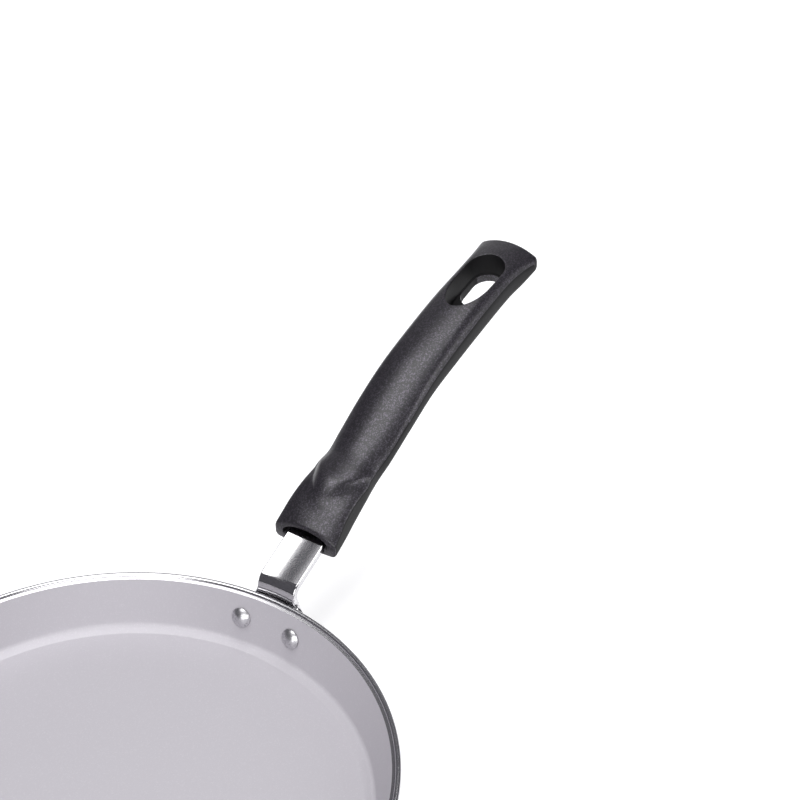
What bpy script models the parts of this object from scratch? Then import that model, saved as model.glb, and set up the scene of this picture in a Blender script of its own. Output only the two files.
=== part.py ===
"""Crepe pan: a flared aluminium pan, a bent steel bracket riveted to it and a moulded grip screwed to the bracket.

Units are metres and +Z is up. The pan stands on Z = 0 with its axis on Z, and the handle points along +X.
"""
import math

import bmesh
import bpy
from mathutils import Matrix, Vector

# Pan
RIM_RADIUS = 0.1202
PAN_HEIGHT = 0.0264
WALL_FLARE = math.radians(19.5)
WALL_THICKNESS = 0.0036
BASE_THICKNESS = 0.0032
LIP_RADIUS = 0.0013
LAND_DROP = 0.0015
LAND_SLOPE = math.radians(15.0)
FLOOR_CHAMFER_WIDTH = 0.0026
FLOOR_CHAMFER_RISE = 0.0012
INNER_FILLET = 0.0021
OUTER_FILLET = 0.0070
CONTACT_INSET = 0.0045
CONTACT_STEP = 0.0008
CONTACT_BEVEL = 0.0012
PAN_SEGMENTS = 96

# Bracket
BRACKET_THICKNESS = 0.0032
STRIP_WIDTH = 0.0192
STRIP_SLOPE = math.radians(21.0)
BEND_RADIUS = 0.0070
BEND_LIFT = 0.0034
FOOT_WIDTH = 0.0392
FOOT_BOTTOM = 0.0075
FOOT_TOP = 0.0225
FOOT_FLARE_RADIUS = 0.0070
FOOT_CORNER_RADIUS = 0.0050
FOOT_SHOULDER_RADIUS = 0.0015
PLATE_EDGE_RADIUS = 0.0006
TANG_WIDTH = 0.0150
TANG_LENGTH = 0.0400
TANG_SHOULDER = 0.0080

# Rivets
RIVET_SPACING = 0.0262
RIVET_HEIGHT = 0.0150
RIVET_SHANK_DIAMETER = 0.0050
RIVET_HEAD_DIAMETER = 0.0090
RIVET_HEAD_RISE = 0.0024
RIVET_TAIL_DIAMETER = 0.0080
RIVET_TAIL_RISE = 0.0016

# Grip, measured from its mouth
MOUTH_REACH = 0.0238
GRIP_LENGTH = 0.1753
GRIP_WIDTH = 0.0282
GRIP_RISE = 0.0520
GRIP_DEPTH = 0.0120
GRIP_CROWN = 0.0059
MOUTH_CROWN = 0.0035
COLLAR_CROWN = 0.0020
COLLAR_STEP = 0.0012
COLLAR_WALL = 0.0010
POCKET_WIDTH = 0.0228
POCKET_NARROWING = 0.0030
POCKET_DEPTH = 0.0120
POCKET_HEIGHT = 0.0066
POCKET_CORNER_SAG = 0.0016
NOSE_TIP = 0.0130
NOSE_SWEEP = 0.0160
NOSE_HALF_WIDTH = 0.0135
NOSE_RAMP = 0.0080
NOSE_FADE = 0.0450
COLLAR_RING_STEP = 0.0026
GRIP_RING_STEP = 0.0056
UNDERSIDE_SAG = 0.0008
TAIL_BOW = 0.0005
TAIL_CORNER_RADIUS = 0.0020
MOUTH_ROUND = 0.0006
EDGE_ROUND = 0.0012
TAIL_ZONE = 0.0300
GRIP_RING_POINTS = 10

# Hang hole
HOLE_FROM_TAIL = 0.0346
HOLE_LENGTH = 0.0396
HOLE_WIDTH = 0.0184
HOLE_MOUTH_ROUND = 0.0195
HOLE_TAPER = 0.0007
HOLE_LEDGE = 0.0005
HOLE_SHELF = 0.0126
HOLE_LAND_DEPTH = 0.0129
HOLE_RUN_OUT = 0.0040
HOLE_ROUND_POINTS = 13

# Handle screw and washer
SCREW_FROM_MOUTH = 0.0290
SCREW_DIAMETER = 0.0050
SCREW_HEAD_DIAMETER = 0.0092
SCREW_HEAD_HEIGHT = 0.0024
SCREW_TIP_RISE = 0.0012
SCREW_TIP_CHAMFER = 0.0006
RECESS_SPAN = 0.0046
RECESS_WIDTH = 0.0010
RECESS_DEPTH = 0.0016
BORE_DEPTH = 0.0200
SEAT_THICKNESS = 0.0014
WASHER_DIAMETER = 0.0088
WASHER_THICKNESS = 0.0011
WASHER_GAP_ANGLE = math.radians(12.0)
WASHER_TURN = math.radians(60.0)
FASTENER_SEGMENTS = 32
HOLE_SEGMENTS = 24

# Clearances
SEAT_GAP = 0.0003
SHANK_GAP = 0.0003
HEAD_GAP = 0.0006
CUT_OVERLAP = 0.0010

# Grip stations: place as a share of the length, width as a share of GRIP_WIDTH, height of the shoulder above the
# strip's top face at the mouth as a share of GRIP_RISE, depth from shoulder to underside as a share of GRIP_DEPTH, the
# lower corner's radius, the rise of the crown over the shoulder, and the shoulder's radius.
GRIP_STATIONS = (
    (0.000, 1.145, 0.060, 0.700, 0.0022, 0.0059, 0.0022),
    (0.034, 1.101, 0.138, 0.900, 0.0022, 0.0059, 0.0022),
    (0.062, 1.068, 0.200, 1.048, 0.0024, 0.0059, 0.0022),
    (0.110, 1.034, 0.264, 1.165, 0.0052, 0.0059, 0.0022),
    (0.165, 1.018, 0.296, 1.155, 0.0092, 0.0059, 0.0023),
    (0.219, 0.952, 0.328, 0.948, 0.0074, 0.0058, 0.0025),
    (0.273, 0.993, 0.401, 0.930, 0.0076, 0.0056, 0.0029),
    (0.373, 1.018, 0.566, 0.945, 0.0072, 0.0052, 0.0039),
    (0.478, 1.003, 0.724, 1.030, 0.0070, 0.0047, 0.0051),
    (0.600, 0.995, 0.846, 1.150, 0.0068, 0.0042, 0.0065),
    (0.727, 0.986, 0.943, 1.225, 0.0068, 0.0039, 0.0072),
    (0.864, 0.970, 1.004, 1.135, 0.0058, 0.0039, 0.0072),
    (0.935, 1.020, 1.004, 0.925, 0.0040, 0.0041, 0.0056),
    (1.000, 1.118, 0.980, 0.430, 0.0012, 0.0046, 0.0024),
)

# Colour as sRGB, metallic value and roughness
FINISHES = {
    "coated_aluminium": ((0.72, 0.71, 0.73), 0.35, 0.42),
    "polished_steel": ((0.78, 0.78, 0.79), 1.0, 0.16),
    "rivet_aluminium": ((0.86, 0.86, 0.87), 1.0, 0.22),
    "moulded_phenolic": ((0.10, 0.095, 0.105), 0.0, 0.45),
    "zinc_plated_steel": ((0.70, 0.71, 0.72), 1.0, 0.30),
}


def clear_scene():
    for item in list(bpy.data.objects):
        bpy.data.objects.remove(item, do_unlink=True)


def linear_channel(value):
    if value <= 0.04045:
        return value / 12.92
    return ((value + 0.055) / 1.055) ** 2.4


def material(name):
    colour, metallic, roughness = FINISHES[name]
    result = bpy.data.materials.get(name) or bpy.data.materials.new(name)
    result.use_nodes = True
    shader = result.node_tree.nodes["Principled BSDF"]
    linear = [linear_channel(channel) for channel in colour]
    shader.inputs["Base Color"].default_value = (*linear, 1.0)
    shader.inputs["Metallic"].default_value = metallic
    shader.inputs["Roughness"].default_value = roughness
    result.diffuse_color = (*colour, 1.0)
    return result


def make_object(name, shape, finish=None, sharp=math.radians(35.0)):
    """Turn a bmesh into an object with outward faces and smooth round surfaces."""
    bmesh.ops.recalc_face_normals(shape, faces=shape.faces)
    mesh = bpy.data.meshes.new(name)
    shape.to_mesh(mesh)
    shape.free()
    mesh.shade_smooth()
    mesh.set_sharp_from_angle(angle=sharp)
    item = bpy.data.objects.new(name, mesh)
    bpy.context.collection.objects.link(item)
    if finish is None:
        item.hide_render = True
        item.display_type = "WIRE"
    else:
        mesh.materials.append(material(finish))
    return item


def cut(target, cutter):
    modifier = target.modifiers.new("cut_" + cutter.name, "BOOLEAN")
    modifier.operation = "DIFFERENCE"
    modifier.solver = "EXACT"
    modifier.object = cutter


def arc(centre, radius, start, end, steps):
    """Points on an arc from the start angle to the end angle, both included."""
    points = []
    for step in range(steps + 1):
        angle = start + (end - start) * step / steps
        points.append((centre[0] + radius * math.cos(angle), centre[1] + radius * math.sin(angle)))
    return points


def turned(profile, segments):
    """Spin a profile of (radius, height) points, which starts and ends on the axis, into one closed body."""
    shape = bmesh.new()
    chain = [shape.verts.new((radius, 0.0, height)) for radius, height in profile]
    edges = [shape.edges.new(pair) for pair in zip(chain, chain[1:])]
    bmesh.ops.spin(
        shape, geom=chain + edges, cent=(0.0, 0.0, 0.0), axis=(0.0, 0.0, 1.0),
        angle=math.tau, steps=segments, use_merge=True,
    )
    bmesh.ops.remove_doubles(shape, verts=shape.verts, dist=1e-6)
    return shape


def loft(rings):
    """Join rings of points, each with the same count, into one closed body with flat ends."""
    shape = bmesh.new()
    loops = []
    for ring in rings:
        verts = [shape.verts.new(point) for point in ring]
        loops.append([shape.edges.new((verts[i - 1], verts[i])) for i in range(len(verts))])
    for first, second in zip(loops, loops[1:]):
        bmesh.ops.bridge_loops(shape, edges=first + second)
    for ends in (loops[0], loops[-1]):
        bmesh.ops.contextual_create(shape, geom=ends)
    return shape


def cylinder(radius, low, high):
    return turned([(0.0, low), (radius, low), (radius, high), (0.0, high)], HOLE_SEGMENTS)


# Pan

def lip_centre():
    return RIM_RADIUS - LIP_RADIUS, PAN_HEIGHT - LIP_RADIUS


def outer_wall_radius(height):
    """Radius of the wall's outer face, which runs down from the lip at the flare angle."""
    radius, level = lip_centre()
    radius += LIP_RADIUS * math.cos(WALL_FLARE)
    level -= LIP_RADIUS * math.sin(WALL_FLARE)
    return radius - math.tan(WALL_FLARE) * (level - height)


def inner_wall_radius(height):
    return outer_wall_radius(height) - WALL_THICKNESS / math.cos(WALL_FLARE)


def wall_fillet(radius_at, level, fillet, steps):
    """Fillet between a level surface below and the flared wall, from the flat up to the wall."""
    turn = math.pi / 2 - WALL_FLARE
    corner = radius_at(level)
    centre = (corner - fillet * math.tan(turn / 2), level + fillet)
    return arc(centre, fillet, -math.pi / 2, -WALL_FLARE, steps)


def land_meets_lip():
    """Angle on the lip's circle at which the sloping land runs into it."""
    radius, level = lip_centre()
    inner = land_inner_edge()
    start = Vector(inner) - Vector((radius, level))
    along = Vector((math.cos(LAND_SLOPE), math.sin(LAND_SLOPE)))
    half = start.dot(along)
    reach = -half - math.sqrt(half * half - start.length_squared + LIP_RADIUS ** 2)
    meeting = start + along * reach
    return math.atan2(meeting.y, meeting.x)


def land_inner_edge():
    level = PAN_HEIGHT - LAND_DROP
    return inner_wall_radius(level), level


def pan_profile():
    """Closed half section of the pan, from the floor's centre over the rim to the underside's centre."""
    inner_curve = wall_fillet(inner_wall_radius, BASE_THICKNESS + FLOOR_CHAMFER_RISE, INNER_FILLET, 5)
    outer_curve = wall_fillet(outer_wall_radius, CONTACT_STEP, OUTER_FILLET, 6)
    floor_radius = inner_curve[0][0] - FLOOR_CHAMFER_WIDTH
    contact_radius = outer_curve[0][0] - CONTACT_INSET
    points = [(0.0, BASE_THICKNESS), (floor_radius, BASE_THICKNESS)]
    points += inner_curve
    points.append(land_inner_edge())
    points += arc(lip_centre(), LIP_RADIUS, land_meets_lip(), -WALL_FLARE, 8)
    points += reversed(outer_curve)
    points.append((contact_radius, CONTACT_STEP))
    points.append((contact_radius - CONTACT_BEVEL, 0.0))
    points.append((0.0, 0.0))
    return points


def rivet_angle():
    return math.asin(RIVET_SPACING / 2 / inner_wall_radius(RIVET_HEIGHT))


def rivet_frame(side):
    """Frame on the wall's inner face at a rivet, with its Z axis pointing square off the wall into the pan."""
    turn = Matrix.Rotation(side * rivet_angle(), 4, "Z")
    place = Matrix.Translation((inner_wall_radius(RIVET_HEIGHT), 0.0, RIVET_HEIGHT))
    tilt = Matrix.Rotation(-(math.pi / 2 - WALL_FLARE), 4, "Y")
    return turn @ place @ tilt


def rivet_hole(name, side):
    reach = WALL_THICKNESS + BRACKET_THICKNESS + 3 * SEAT_GAP + RIVET_TAIL_RISE
    hole = make_object(name, cylinder(RIVET_SHANK_DIAMETER / 2 + SHANK_GAP, -reach, RIVET_HEAD_RISE))
    hole.matrix_world = rivet_frame(side)
    return hole


def build_pan(holes):
    pan = make_object("pan_body", turned(pan_profile(), PAN_SEGMENTS), "coated_aluminium")
    for hole in holes:
        cut(pan, hole)
    return pan


# Bracket

def bend_start():
    """Where the bracket leaves the wall's slope, on the face towards the pan, and turns upright past the lip."""
    level = PAN_HEIGHT - LIP_RADIUS
    return outer_wall_radius(level) + SEAT_GAP / math.cos(WALL_FLARE), level


def bend_centre():
    radius, level = bend_start()
    return radius + BEND_RADIUS, level + BEND_LIFT


def strip_top(x):
    """Height of the strip's top face at a distance x from the pan's axis."""
    centre = bend_centre()
    start_x = centre[0] - BEND_RADIUS * math.sin(STRIP_SLOPE)
    start_z = centre[1] + BEND_RADIUS * math.cos(STRIP_SLOPE)
    return start_z + (x - start_x) * math.tan(STRIP_SLOPE)


def mouth_x():
    return RIM_RADIUS + MOUTH_REACH


def plate_half_width(level, x):
    """Half of the plate's width: a wide foot with rounded corners, a flare, the strip and the narrower tang."""
    foot = FOOT_WIDTH / 2
    strip = STRIP_WIDTH / 2
    if level < FOOT_BOTTOM + FOOT_CORNER_RADIUS:
        drop = FOOT_BOTTOM + FOOT_CORNER_RADIUS - level
        return foot - FOOT_CORNER_RADIUS + math.sqrt(max(FOOT_CORNER_RADIUS ** 2 - drop ** 2, 0.0))
    if level < FOOT_TOP - FOOT_SHOULDER_RADIUS:
        return foot
    if level < FOOT_TOP:
        rise = level - (FOOT_TOP - FOOT_SHOULDER_RADIUS)
        return foot - FOOT_SHOULDER_RADIUS + math.sqrt(max(FOOT_SHOULDER_RADIUS ** 2 - rise ** 2, 0.0))
    if level < FOOT_TOP + FOOT_FLARE_RADIUS:
        drop = FOOT_TOP + FOOT_FLARE_RADIUS - level
        return strip + FOOT_FLARE_RADIUS - math.sqrt(max(FOOT_FLARE_RADIUS ** 2 - drop ** 2, 0.0))
    inside = (x - mouth_x()) / TANG_SHOULDER
    blend = min(max(inside, 0.0), 1.0)
    blend = blend * blend * (3 - 2 * blend)
    return strip + (TANG_WIDTH / 2 - strip) * blend


def plate_path():
    """Stations along the face towards the pan: x, z and the direction of travel, from the foot to the tang's end."""
    wall = math.pi / 2 - WALL_FLARE
    levels = [FOOT_BOTTOM + FOOT_CORNER_RADIUS * (1 - math.cos(math.radians(a))) for a in (0, 25, 50, 70, 90)]
    shoulder = [math.sin(math.radians(a)) for a in (0, 35, 60, 78, 90)]
    levels += [FOOT_TOP - FOOT_SHOULDER_RADIUS * (1 - part) for part in shoulder]
    flare = [1 - math.cos(math.radians(a)) for a in (12, 22, 34, 46)]
    levels += [FOOT_TOP + FOOT_FLARE_RADIUS * part for part in flare]
    stations = []
    for level in levels:
        if level < bend_start()[1] - 0.0002:
            stations.append((outer_wall_radius(level) + SEAT_GAP / math.cos(WALL_FLARE), level, wall))
    stations.append((*bend_start(), wall + WALL_FLARE / 2))
    centre = bend_centre()
    stations.append((bend_start()[0], bend_start()[1] + BEND_LIFT / 2, math.pi / 2))
    for step in range(9):
        heading = math.pi / 2 + (STRIP_SLOPE - math.pi / 2) * step / 8
        x = centre[0] - BEND_RADIUS * math.sin(heading)
        z = centre[1] + BEND_RADIUS * math.cos(heading)
        stations.append((x, z, heading))
    run = [mouth_x() + TANG_SHOULDER * part for part in (0.0, 0.25, 0.5, 0.75, 1.0)]
    for x in run + [mouth_x() + TANG_LENGTH]:
        stations.append((x, strip_top(x), STRIP_SLOPE))
    return stations


def plate_section(x, z, heading, half_width, thickness, grow=0.0):
    """Ring round the plate at one station. The foot curves round the pan, and the strip is flat across."""
    radius = PLATE_EDGE_RADIUS
    across = []
    flat = half_width - radius
    for part in (-1.0, -0.72, -0.38, 0.0, 0.38, 0.72, 1.0):
        across.append((flat * part, 0.0))
    edge = [(flat + radius * math.sin(math.radians(a)), radius * (1 - math.cos(math.radians(a)))) for a in (45, 90)]
    far_edge = [(y, thickness - depth) for y, depth in reversed(edge)]
    half_ring = across + edge + far_edge
    ring = half_ring + [(-y, thickness - depth) for y, depth in half_ring]
    normal = Vector((-math.sin(heading), math.cos(heading)))
    hug = 1.0 if z < bend_start()[1] else max(0.0, 1.0 - (z - bend_start()[1]) / BEND_RADIUS)
    points = []
    for y, depth in ring:
        point = Vector((x, z)) + normal * (grow - depth * (1 + 2 * grow / thickness))
        side = y * (1 + grow / half_width)
        pulled = point.x - hug * (point.x - math.sqrt(point.x ** 2 - side ** 2))
        points.append((pulled, side, point.y))
    return points


def build_bracket(rivet_holes, screw_hole):
    rings = []
    for x, z, heading in plate_path():
        half = plate_half_width(z, x)
        rings.append(plate_section(x, z, heading, half, BRACKET_THICKNESS))
    bracket = make_object("handle_bracket", loft(rings), "polished_steel")
    for hole in rivet_holes + [screw_hole]:
        cut(bracket, hole)
    return bracket


# Rivets

def rivet_profile():
    """Domed head above, shank through wall and foot, and the flat formed tail outside."""
    shank = RIVET_SHANK_DIAMETER / 2
    head = RIVET_HEAD_DIAMETER / 2
    tail = RIVET_TAIL_DIAMETER / 2
    rim = RIVET_HEAD_RISE * 0.22
    rise = RIVET_HEAD_RISE - rim
    dome = (head * head + rise * rise) / (2 * rise)
    centre = (0.0, SEAT_GAP + RIVET_HEAD_RISE - dome)
    edge = math.asin((SEAT_GAP + rim - centre[1]) / dome)
    points = arc(centre, dome, math.pi / 2, edge, 6)
    points[0] = (0.0, SEAT_GAP + RIVET_HEAD_RISE)
    points.append((head, SEAT_GAP))
    points.append((shank, SEAT_GAP))
    bottom = -(WALL_THICKNESS + BRACKET_THICKNESS + 2 * SEAT_GAP)
    points.append((shank, bottom))
    points.append((tail, bottom))
    points.append((tail, bottom - RIVET_TAIL_RISE * 0.6))
    points.append((tail - RIVET_TAIL_RISE * 0.4, bottom - RIVET_TAIL_RISE))
    points.append((0.0, bottom - RIVET_TAIL_RISE))
    return points


def build_rivet(name, side):
    rivet = make_object(name, turned(rivet_profile(), HOLE_SEGMENTS), "rivet_aluminium")
    rivet.matrix_world = rivet_frame(side)
    return rivet


# Grip

def station_value(along, column):
    """Smooth curve through one column of the grip's stations."""
    unit = (GRIP_LENGTH, GRIP_WIDTH / 2, GRIP_RISE, GRIP_DEPTH, 1.0, 1.0, 1.0)
    places = [row[0] * GRIP_LENGTH for row in GRIP_STATIONS]
    values = [row[column] * unit[column] for row in GRIP_STATIONS]
    last = len(places) - 1
    slopes = []
    for i in range(last + 1):
        low, high = max(i - 1, 0), min(i + 1, last)
        slopes.append((values[high] - values[low]) / (places[high] - places[low]))
    index = 0
    while index < last - 1 and along > places[index + 1]:
        index += 1
    span = places[index + 1] - places[index]
    t = (along - places[index]) / span
    rise = values[index + 1] - values[index]
    bend_in = slopes[index] * span - rise
    bend_out = rise - slopes[index + 1] * span
    return values[index] + rise * t + t * (1 - t) * ((1 - t) * bend_in + t * bend_out)


def smooth_step(value):
    clamped = min(max(value, 0.0), 1.0)
    return clamped * clamped * (3 - 2 * clamped)


def collar_crown(along):
    """Rise of the collar's crown over its shoulder, which falls from the mouth to the nose of the thumb rest."""
    return MOUTH_CROWN + (COLLAR_CROWN - MOUTH_CROWN) * min(along / NOSE_TIP, 1.0)


def nose_share(place, spread):
    """How much of the collar is left at a ring: it ends in a crease at the sides and fades out in the middle."""
    crease = (1.0 - min(max((place - NOSE_TIP) / NOSE_RAMP, 0.0), 1.0)) ** 2
    fade = 1.0 - smooth_step((place - NOSE_TIP / 2) / (NOSE_RAMP + NOSE_TIP / 2))
    return fade + (crease - fade) * spread * spread


def collar_drop(place, spread):
    """How far the collar lies under the thumb rest's dome, at a share of the half width."""
    spread = min(spread, 1.0)
    middle = (GRIP_CROWN - collar_crown(place)) * (1.0 - spread * spread)
    return nose_share(place, spread) * (middle + COLLAR_STEP * spread * spread)


def swept(place, y):
    """Distance from the mouth of a ring's point. The rings bow like the nose, so the crease runs along one of them."""
    if place <= NOSE_TIP:
        share = place / NOSE_TIP
    else:
        share = max(1.0 - (place - NOSE_TIP) / NOSE_FADE, 0.0)
    return place + share * NOSE_SWEEP * min(abs(y) / NOSE_HALF_WIDTH, 1.0) ** 2


def tail_pull(along):
    """Share, from 0 to 1, by which the tail's setback acts at a distance from the mouth."""
    return min(max(1.0 - (GRIP_LENGTH - along) / TAIL_ZONE, 0.0), 1.0) ** 2


def rounded_flank(half, rise, corner):
    """Arc of the given rise across the width, and the corner round that takes it into the upright flank."""
    dome = (half * half + rise * rise) / (2 * rise)
    level = rise - dome
    corner_z = level + math.sqrt((dome - corner) ** 2 - (half - corner) ** 2)
    meet = math.atan2(half - corner, corner_z - level)
    points = []
    for step in range(GRIP_RING_POINTS):
        angle = meet * step / GRIP_RING_POINTS
        points.append((dome * math.sin(angle), level + dome * math.cos(angle)))
    for step in range(4):
        angle = meet + (math.pi / 2 - meet) * step / 3
        points.append((half - corner + corner * math.sin(angle), corner_z + corner * math.cos(angle)))
    return points


def grip_section(place, along, inset=0.0):
    """Half outline of the grip from crown to keel, as (y, z) with z from the strip's top face at the mouth."""
    half = station_value(along, 1)
    shoulder = station_value(along, 2)
    depth = station_value(along, 3)
    corner = station_value(along, 4)
    crown = station_value(along, 5)
    round_over = station_value(along, 6)
    upper = []
    for y, z in rounded_flank(half - inset, crown - inset, round_over):
        upper.append((y, shoulder + z - collar_drop(place, y / (half - inset))))
    lower = []
    for y, z in rounded_flank(half - inset, UNDERSIDE_SAG, corner):
        lower.append((y, shoulder - depth + inset + UNDERSIDE_SAG - z))
    return upper + lower[::-1]


def tail_setback(y, half):
    """How far the tail's end lies back at a distance y from its middle."""
    share = abs(y) / half
    corner_start = half - TAIL_CORNER_RADIUS
    over = max(0.0, abs(y) - corner_start)
    corner = TAIL_CORNER_RADIUS - math.sqrt(max(TAIL_CORNER_RADIUS ** 2 - over ** 2, 0.0))
    return TAIL_BOW * share ** 2 + corner


def grip_ring(place, inset=0.0):
    outline = []
    for index, (y, _) in enumerate(grip_section(place, place, inset)):
        along = swept(place, y)
        outline.append((along, *grip_section(place, along, inset)[index]))
    full = outline + [(along, -y, z) for along, y, z in reversed(outline[1:-1])]
    half = station_value(place, 1)
    points = []
    for along, y, z in full:
        setback = tail_pull(place) * tail_setback(y, half)
        points.append((mouth_x() + along - setback, y, strip_top(mouth_x()) + z))
    return points


def ring_places():
    """Places of the loft's rings: close together round the thumb rest's nose, where one ring is the crease."""
    count = round(NOSE_TIP / COLLAR_RING_STEP)
    places = [NOSE_TIP * (step + 1) / count for step in range(count)]
    count = round(NOSE_RAMP / COLLAR_RING_STEP) + 1
    places += [NOSE_TIP + NOSE_RAMP * (step + 1) / count for step in range(count)]
    rest = GRIP_LENGTH - EDGE_ROUND - places[-1]
    count = round(rest / GRIP_RING_STEP)
    return places + [places[-1] + rest * (step + 1) / count for step in range(count)]


def build_grip_loft():
    rings = [grip_ring(0.0, MOUTH_ROUND), grip_ring(MOUTH_ROUND * 0.3, MOUTH_ROUND * 0.3), grip_ring(MOUTH_ROUND)]
    rings += [grip_ring(place) for place in ring_places()]
    rings.append(grip_ring(GRIP_LENGTH - EDGE_ROUND * 0.3, EDGE_ROUND * 0.3))
    rings.append(grip_ring(GRIP_LENGTH, EDGE_ROUND))
    shape = loft(rings)
    bmesh.ops.triangulate(shape, faces=shape.faces, quad_method="SHORT_EDGE", ngon_method="BEAUTY")
    return shape


def hole_outline(length, width, level, mouth_round, shift=0.0):
    """Outline of the hang hole at one height: a half circle towards the tail and a half ellipse towards the mouth."""
    radius = width / 2
    points = []
    for end, long_radius in ((1, radius), (-1, mouth_round)):
        reach = length / 2 - long_radius
        for step in range(HOLE_ROUND_POINTS):
            angle = math.pi * (step / (HOLE_ROUND_POINTS - 1) - 0.5)
            x = shift + end * (reach + long_radius * math.cos(angle))
            points.append((x, end * radius * math.sin(angle), level))
    return points


def hang_hole_place():
    """Frame at the hang hole's middle, on the crown and square to the grip there."""
    along = GRIP_LENGTH - HOLE_FROM_TAIL
    reach = HOLE_WIDTH / 2
    rise = station_value(along + reach, 2) - station_value(along - reach, 2)
    slope = math.atan2(rise, 2 * reach)
    level = strip_top(mouth_x()) + station_value(along, 2) + station_value(along, 5)
    return Matrix.Translation((mouth_x() + along, 0.0, level)) @ Matrix.Rotation(-slope, 4, "Y")


def build_hang_hole():
    """Tapered pocket from above, and a shorter straight hole on through, which leaves a shelf towards the mouth."""
    inner_length = HOLE_LENGTH - 2 * HOLE_TAPER
    inner_width = HOLE_WIDTH - 2 * HOLE_TAPER
    through_length = inner_length - 2 * HOLE_LEDGE - HOLE_SHELF
    through_width = inner_width - 2 * HOLE_LEDGE
    through_round = through_width / 2
    along = GRIP_LENGTH - HOLE_FROM_TAIL
    below = station_value(along, 5) + station_value(along, 3) + HOLE_RUN_OUT
    flare = HOLE_TAPER * HOLE_RUN_OUT / HOLE_LAND_DEPTH
    pocket = loft([
        hole_outline(HOLE_LENGTH + 2 * flare, HOLE_WIDTH + 2 * flare, HOLE_RUN_OUT, HOLE_MOUTH_ROUND + flare),
        hole_outline(inner_length, inner_width, -HOLE_LAND_DEPTH, HOLE_MOUTH_ROUND - HOLE_TAPER),
    ])
    top = CUT_OVERLAP - HOLE_LAND_DEPTH
    through = loft([
        hole_outline(through_length, through_width, top, through_round, HOLE_SHELF / 2),
        hole_outline(through_length, through_width, -below, through_round, HOLE_SHELF / 2),
    ])
    cutters = [make_object("hole_pocket", pocket), make_object("hole_through", through)]
    for cutter in cutters:
        cutter.matrix_world = hang_hole_place()
    return cutters


def build_tang_slot():
    """Room for the strip and the tang inside the grip, with the seat gap all round."""
    stations = [mouth_x() - STRIP_WIDTH / 4]
    stations += [mouth_x() + TANG_SHOULDER * part for part in (0.0, 0.25, 0.5, 0.75, 1.0)]
    stations.append(mouth_x() + TANG_LENGTH + SEAT_GAP)
    rings = []
    for x in stations:
        half = plate_half_width(strip_top(x), x)
        rings.append(plate_section(x, strip_top(x), STRIP_SLOPE, half, BRACKET_THICKNESS, SEAT_GAP))
    return make_object("tang_slot", loft(rings))


def build_mouth_pocket():
    """Open pocket over the strip at the mouth, under a thin top wall that follows the collar's crown."""
    rings = []
    for place in (-POCKET_DEPTH / 4, 0.0, POCKET_DEPTH / 2, POCKET_DEPTH):
        x = mouth_x() + place
        along = max(place, 0.0)
        low = strip_top(x) - BRACKET_THICKNESS / 2
        shoulder = strip_top(mouth_x()) + station_value(along, 2)
        half = (POCKET_WIDTH - POCKET_NARROWING * along / POCKET_DEPTH) / 2
        full = station_value(along, 1)
        ring = []
        for part in (-1.0, -0.85, -0.6, -0.3, 0.0, 0.3, 0.6, 0.85, 1.0):
            spread = half * abs(part) / full
            dome = GRIP_CROWN * (1.0 - spread * spread) - collar_drop(0.0, spread)
            sink = COLLAR_WALL + POCKET_CORNER_SAG * part ** 6
            level = min(shoulder + dome - sink, strip_top(x) + POCKET_HEIGHT)
            ring.append((x, half * part, level))
        ring.append((x, half, low))
        ring.append((x, -half, low))
        rings.append(ring)
    return make_object("mouth_pocket", loft(rings))


# Screw and washer

def screw_frame():
    """Frame on the tang's lower face at the screw, with its Z axis square to the tang and pointing up through it."""
    x = mouth_x() + SCREW_FROM_MOUTH
    top = Vector((x, 0.0, strip_top(x)))
    down = Vector((math.sin(STRIP_SLOPE), 0.0, -math.cos(STRIP_SLOPE)))
    place = top + down * BRACKET_THICKNESS
    return Matrix.Translation(place) @ Matrix.Rotation(-STRIP_SLOPE, 4, "Y")


def seat_level():
    """Height of the counterbore's floor in the screw's frame."""
    return -(SEAT_GAP + SEAT_THICKNESS)


def build_screw_holes():
    """One clearance hole through seat and tang, and the counterbore for head and washer below."""
    top = BRACKET_THICKNESS + SCREW_TIP_RISE + HEAD_GAP
    low = seat_level() - CUT_OVERLAP
    hole = make_object("screw_hole", cylinder(SCREW_DIAMETER / 2 + SHANK_GAP, low, top))
    bore = make_object("screw_bore", cylinder(SCREW_HEAD_DIAMETER / 2 + HEAD_GAP, -BORE_DEPTH, seat_level()))
    for item in (hole, bore):
        item.matrix_world = screw_frame()
    return hole, bore


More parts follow.
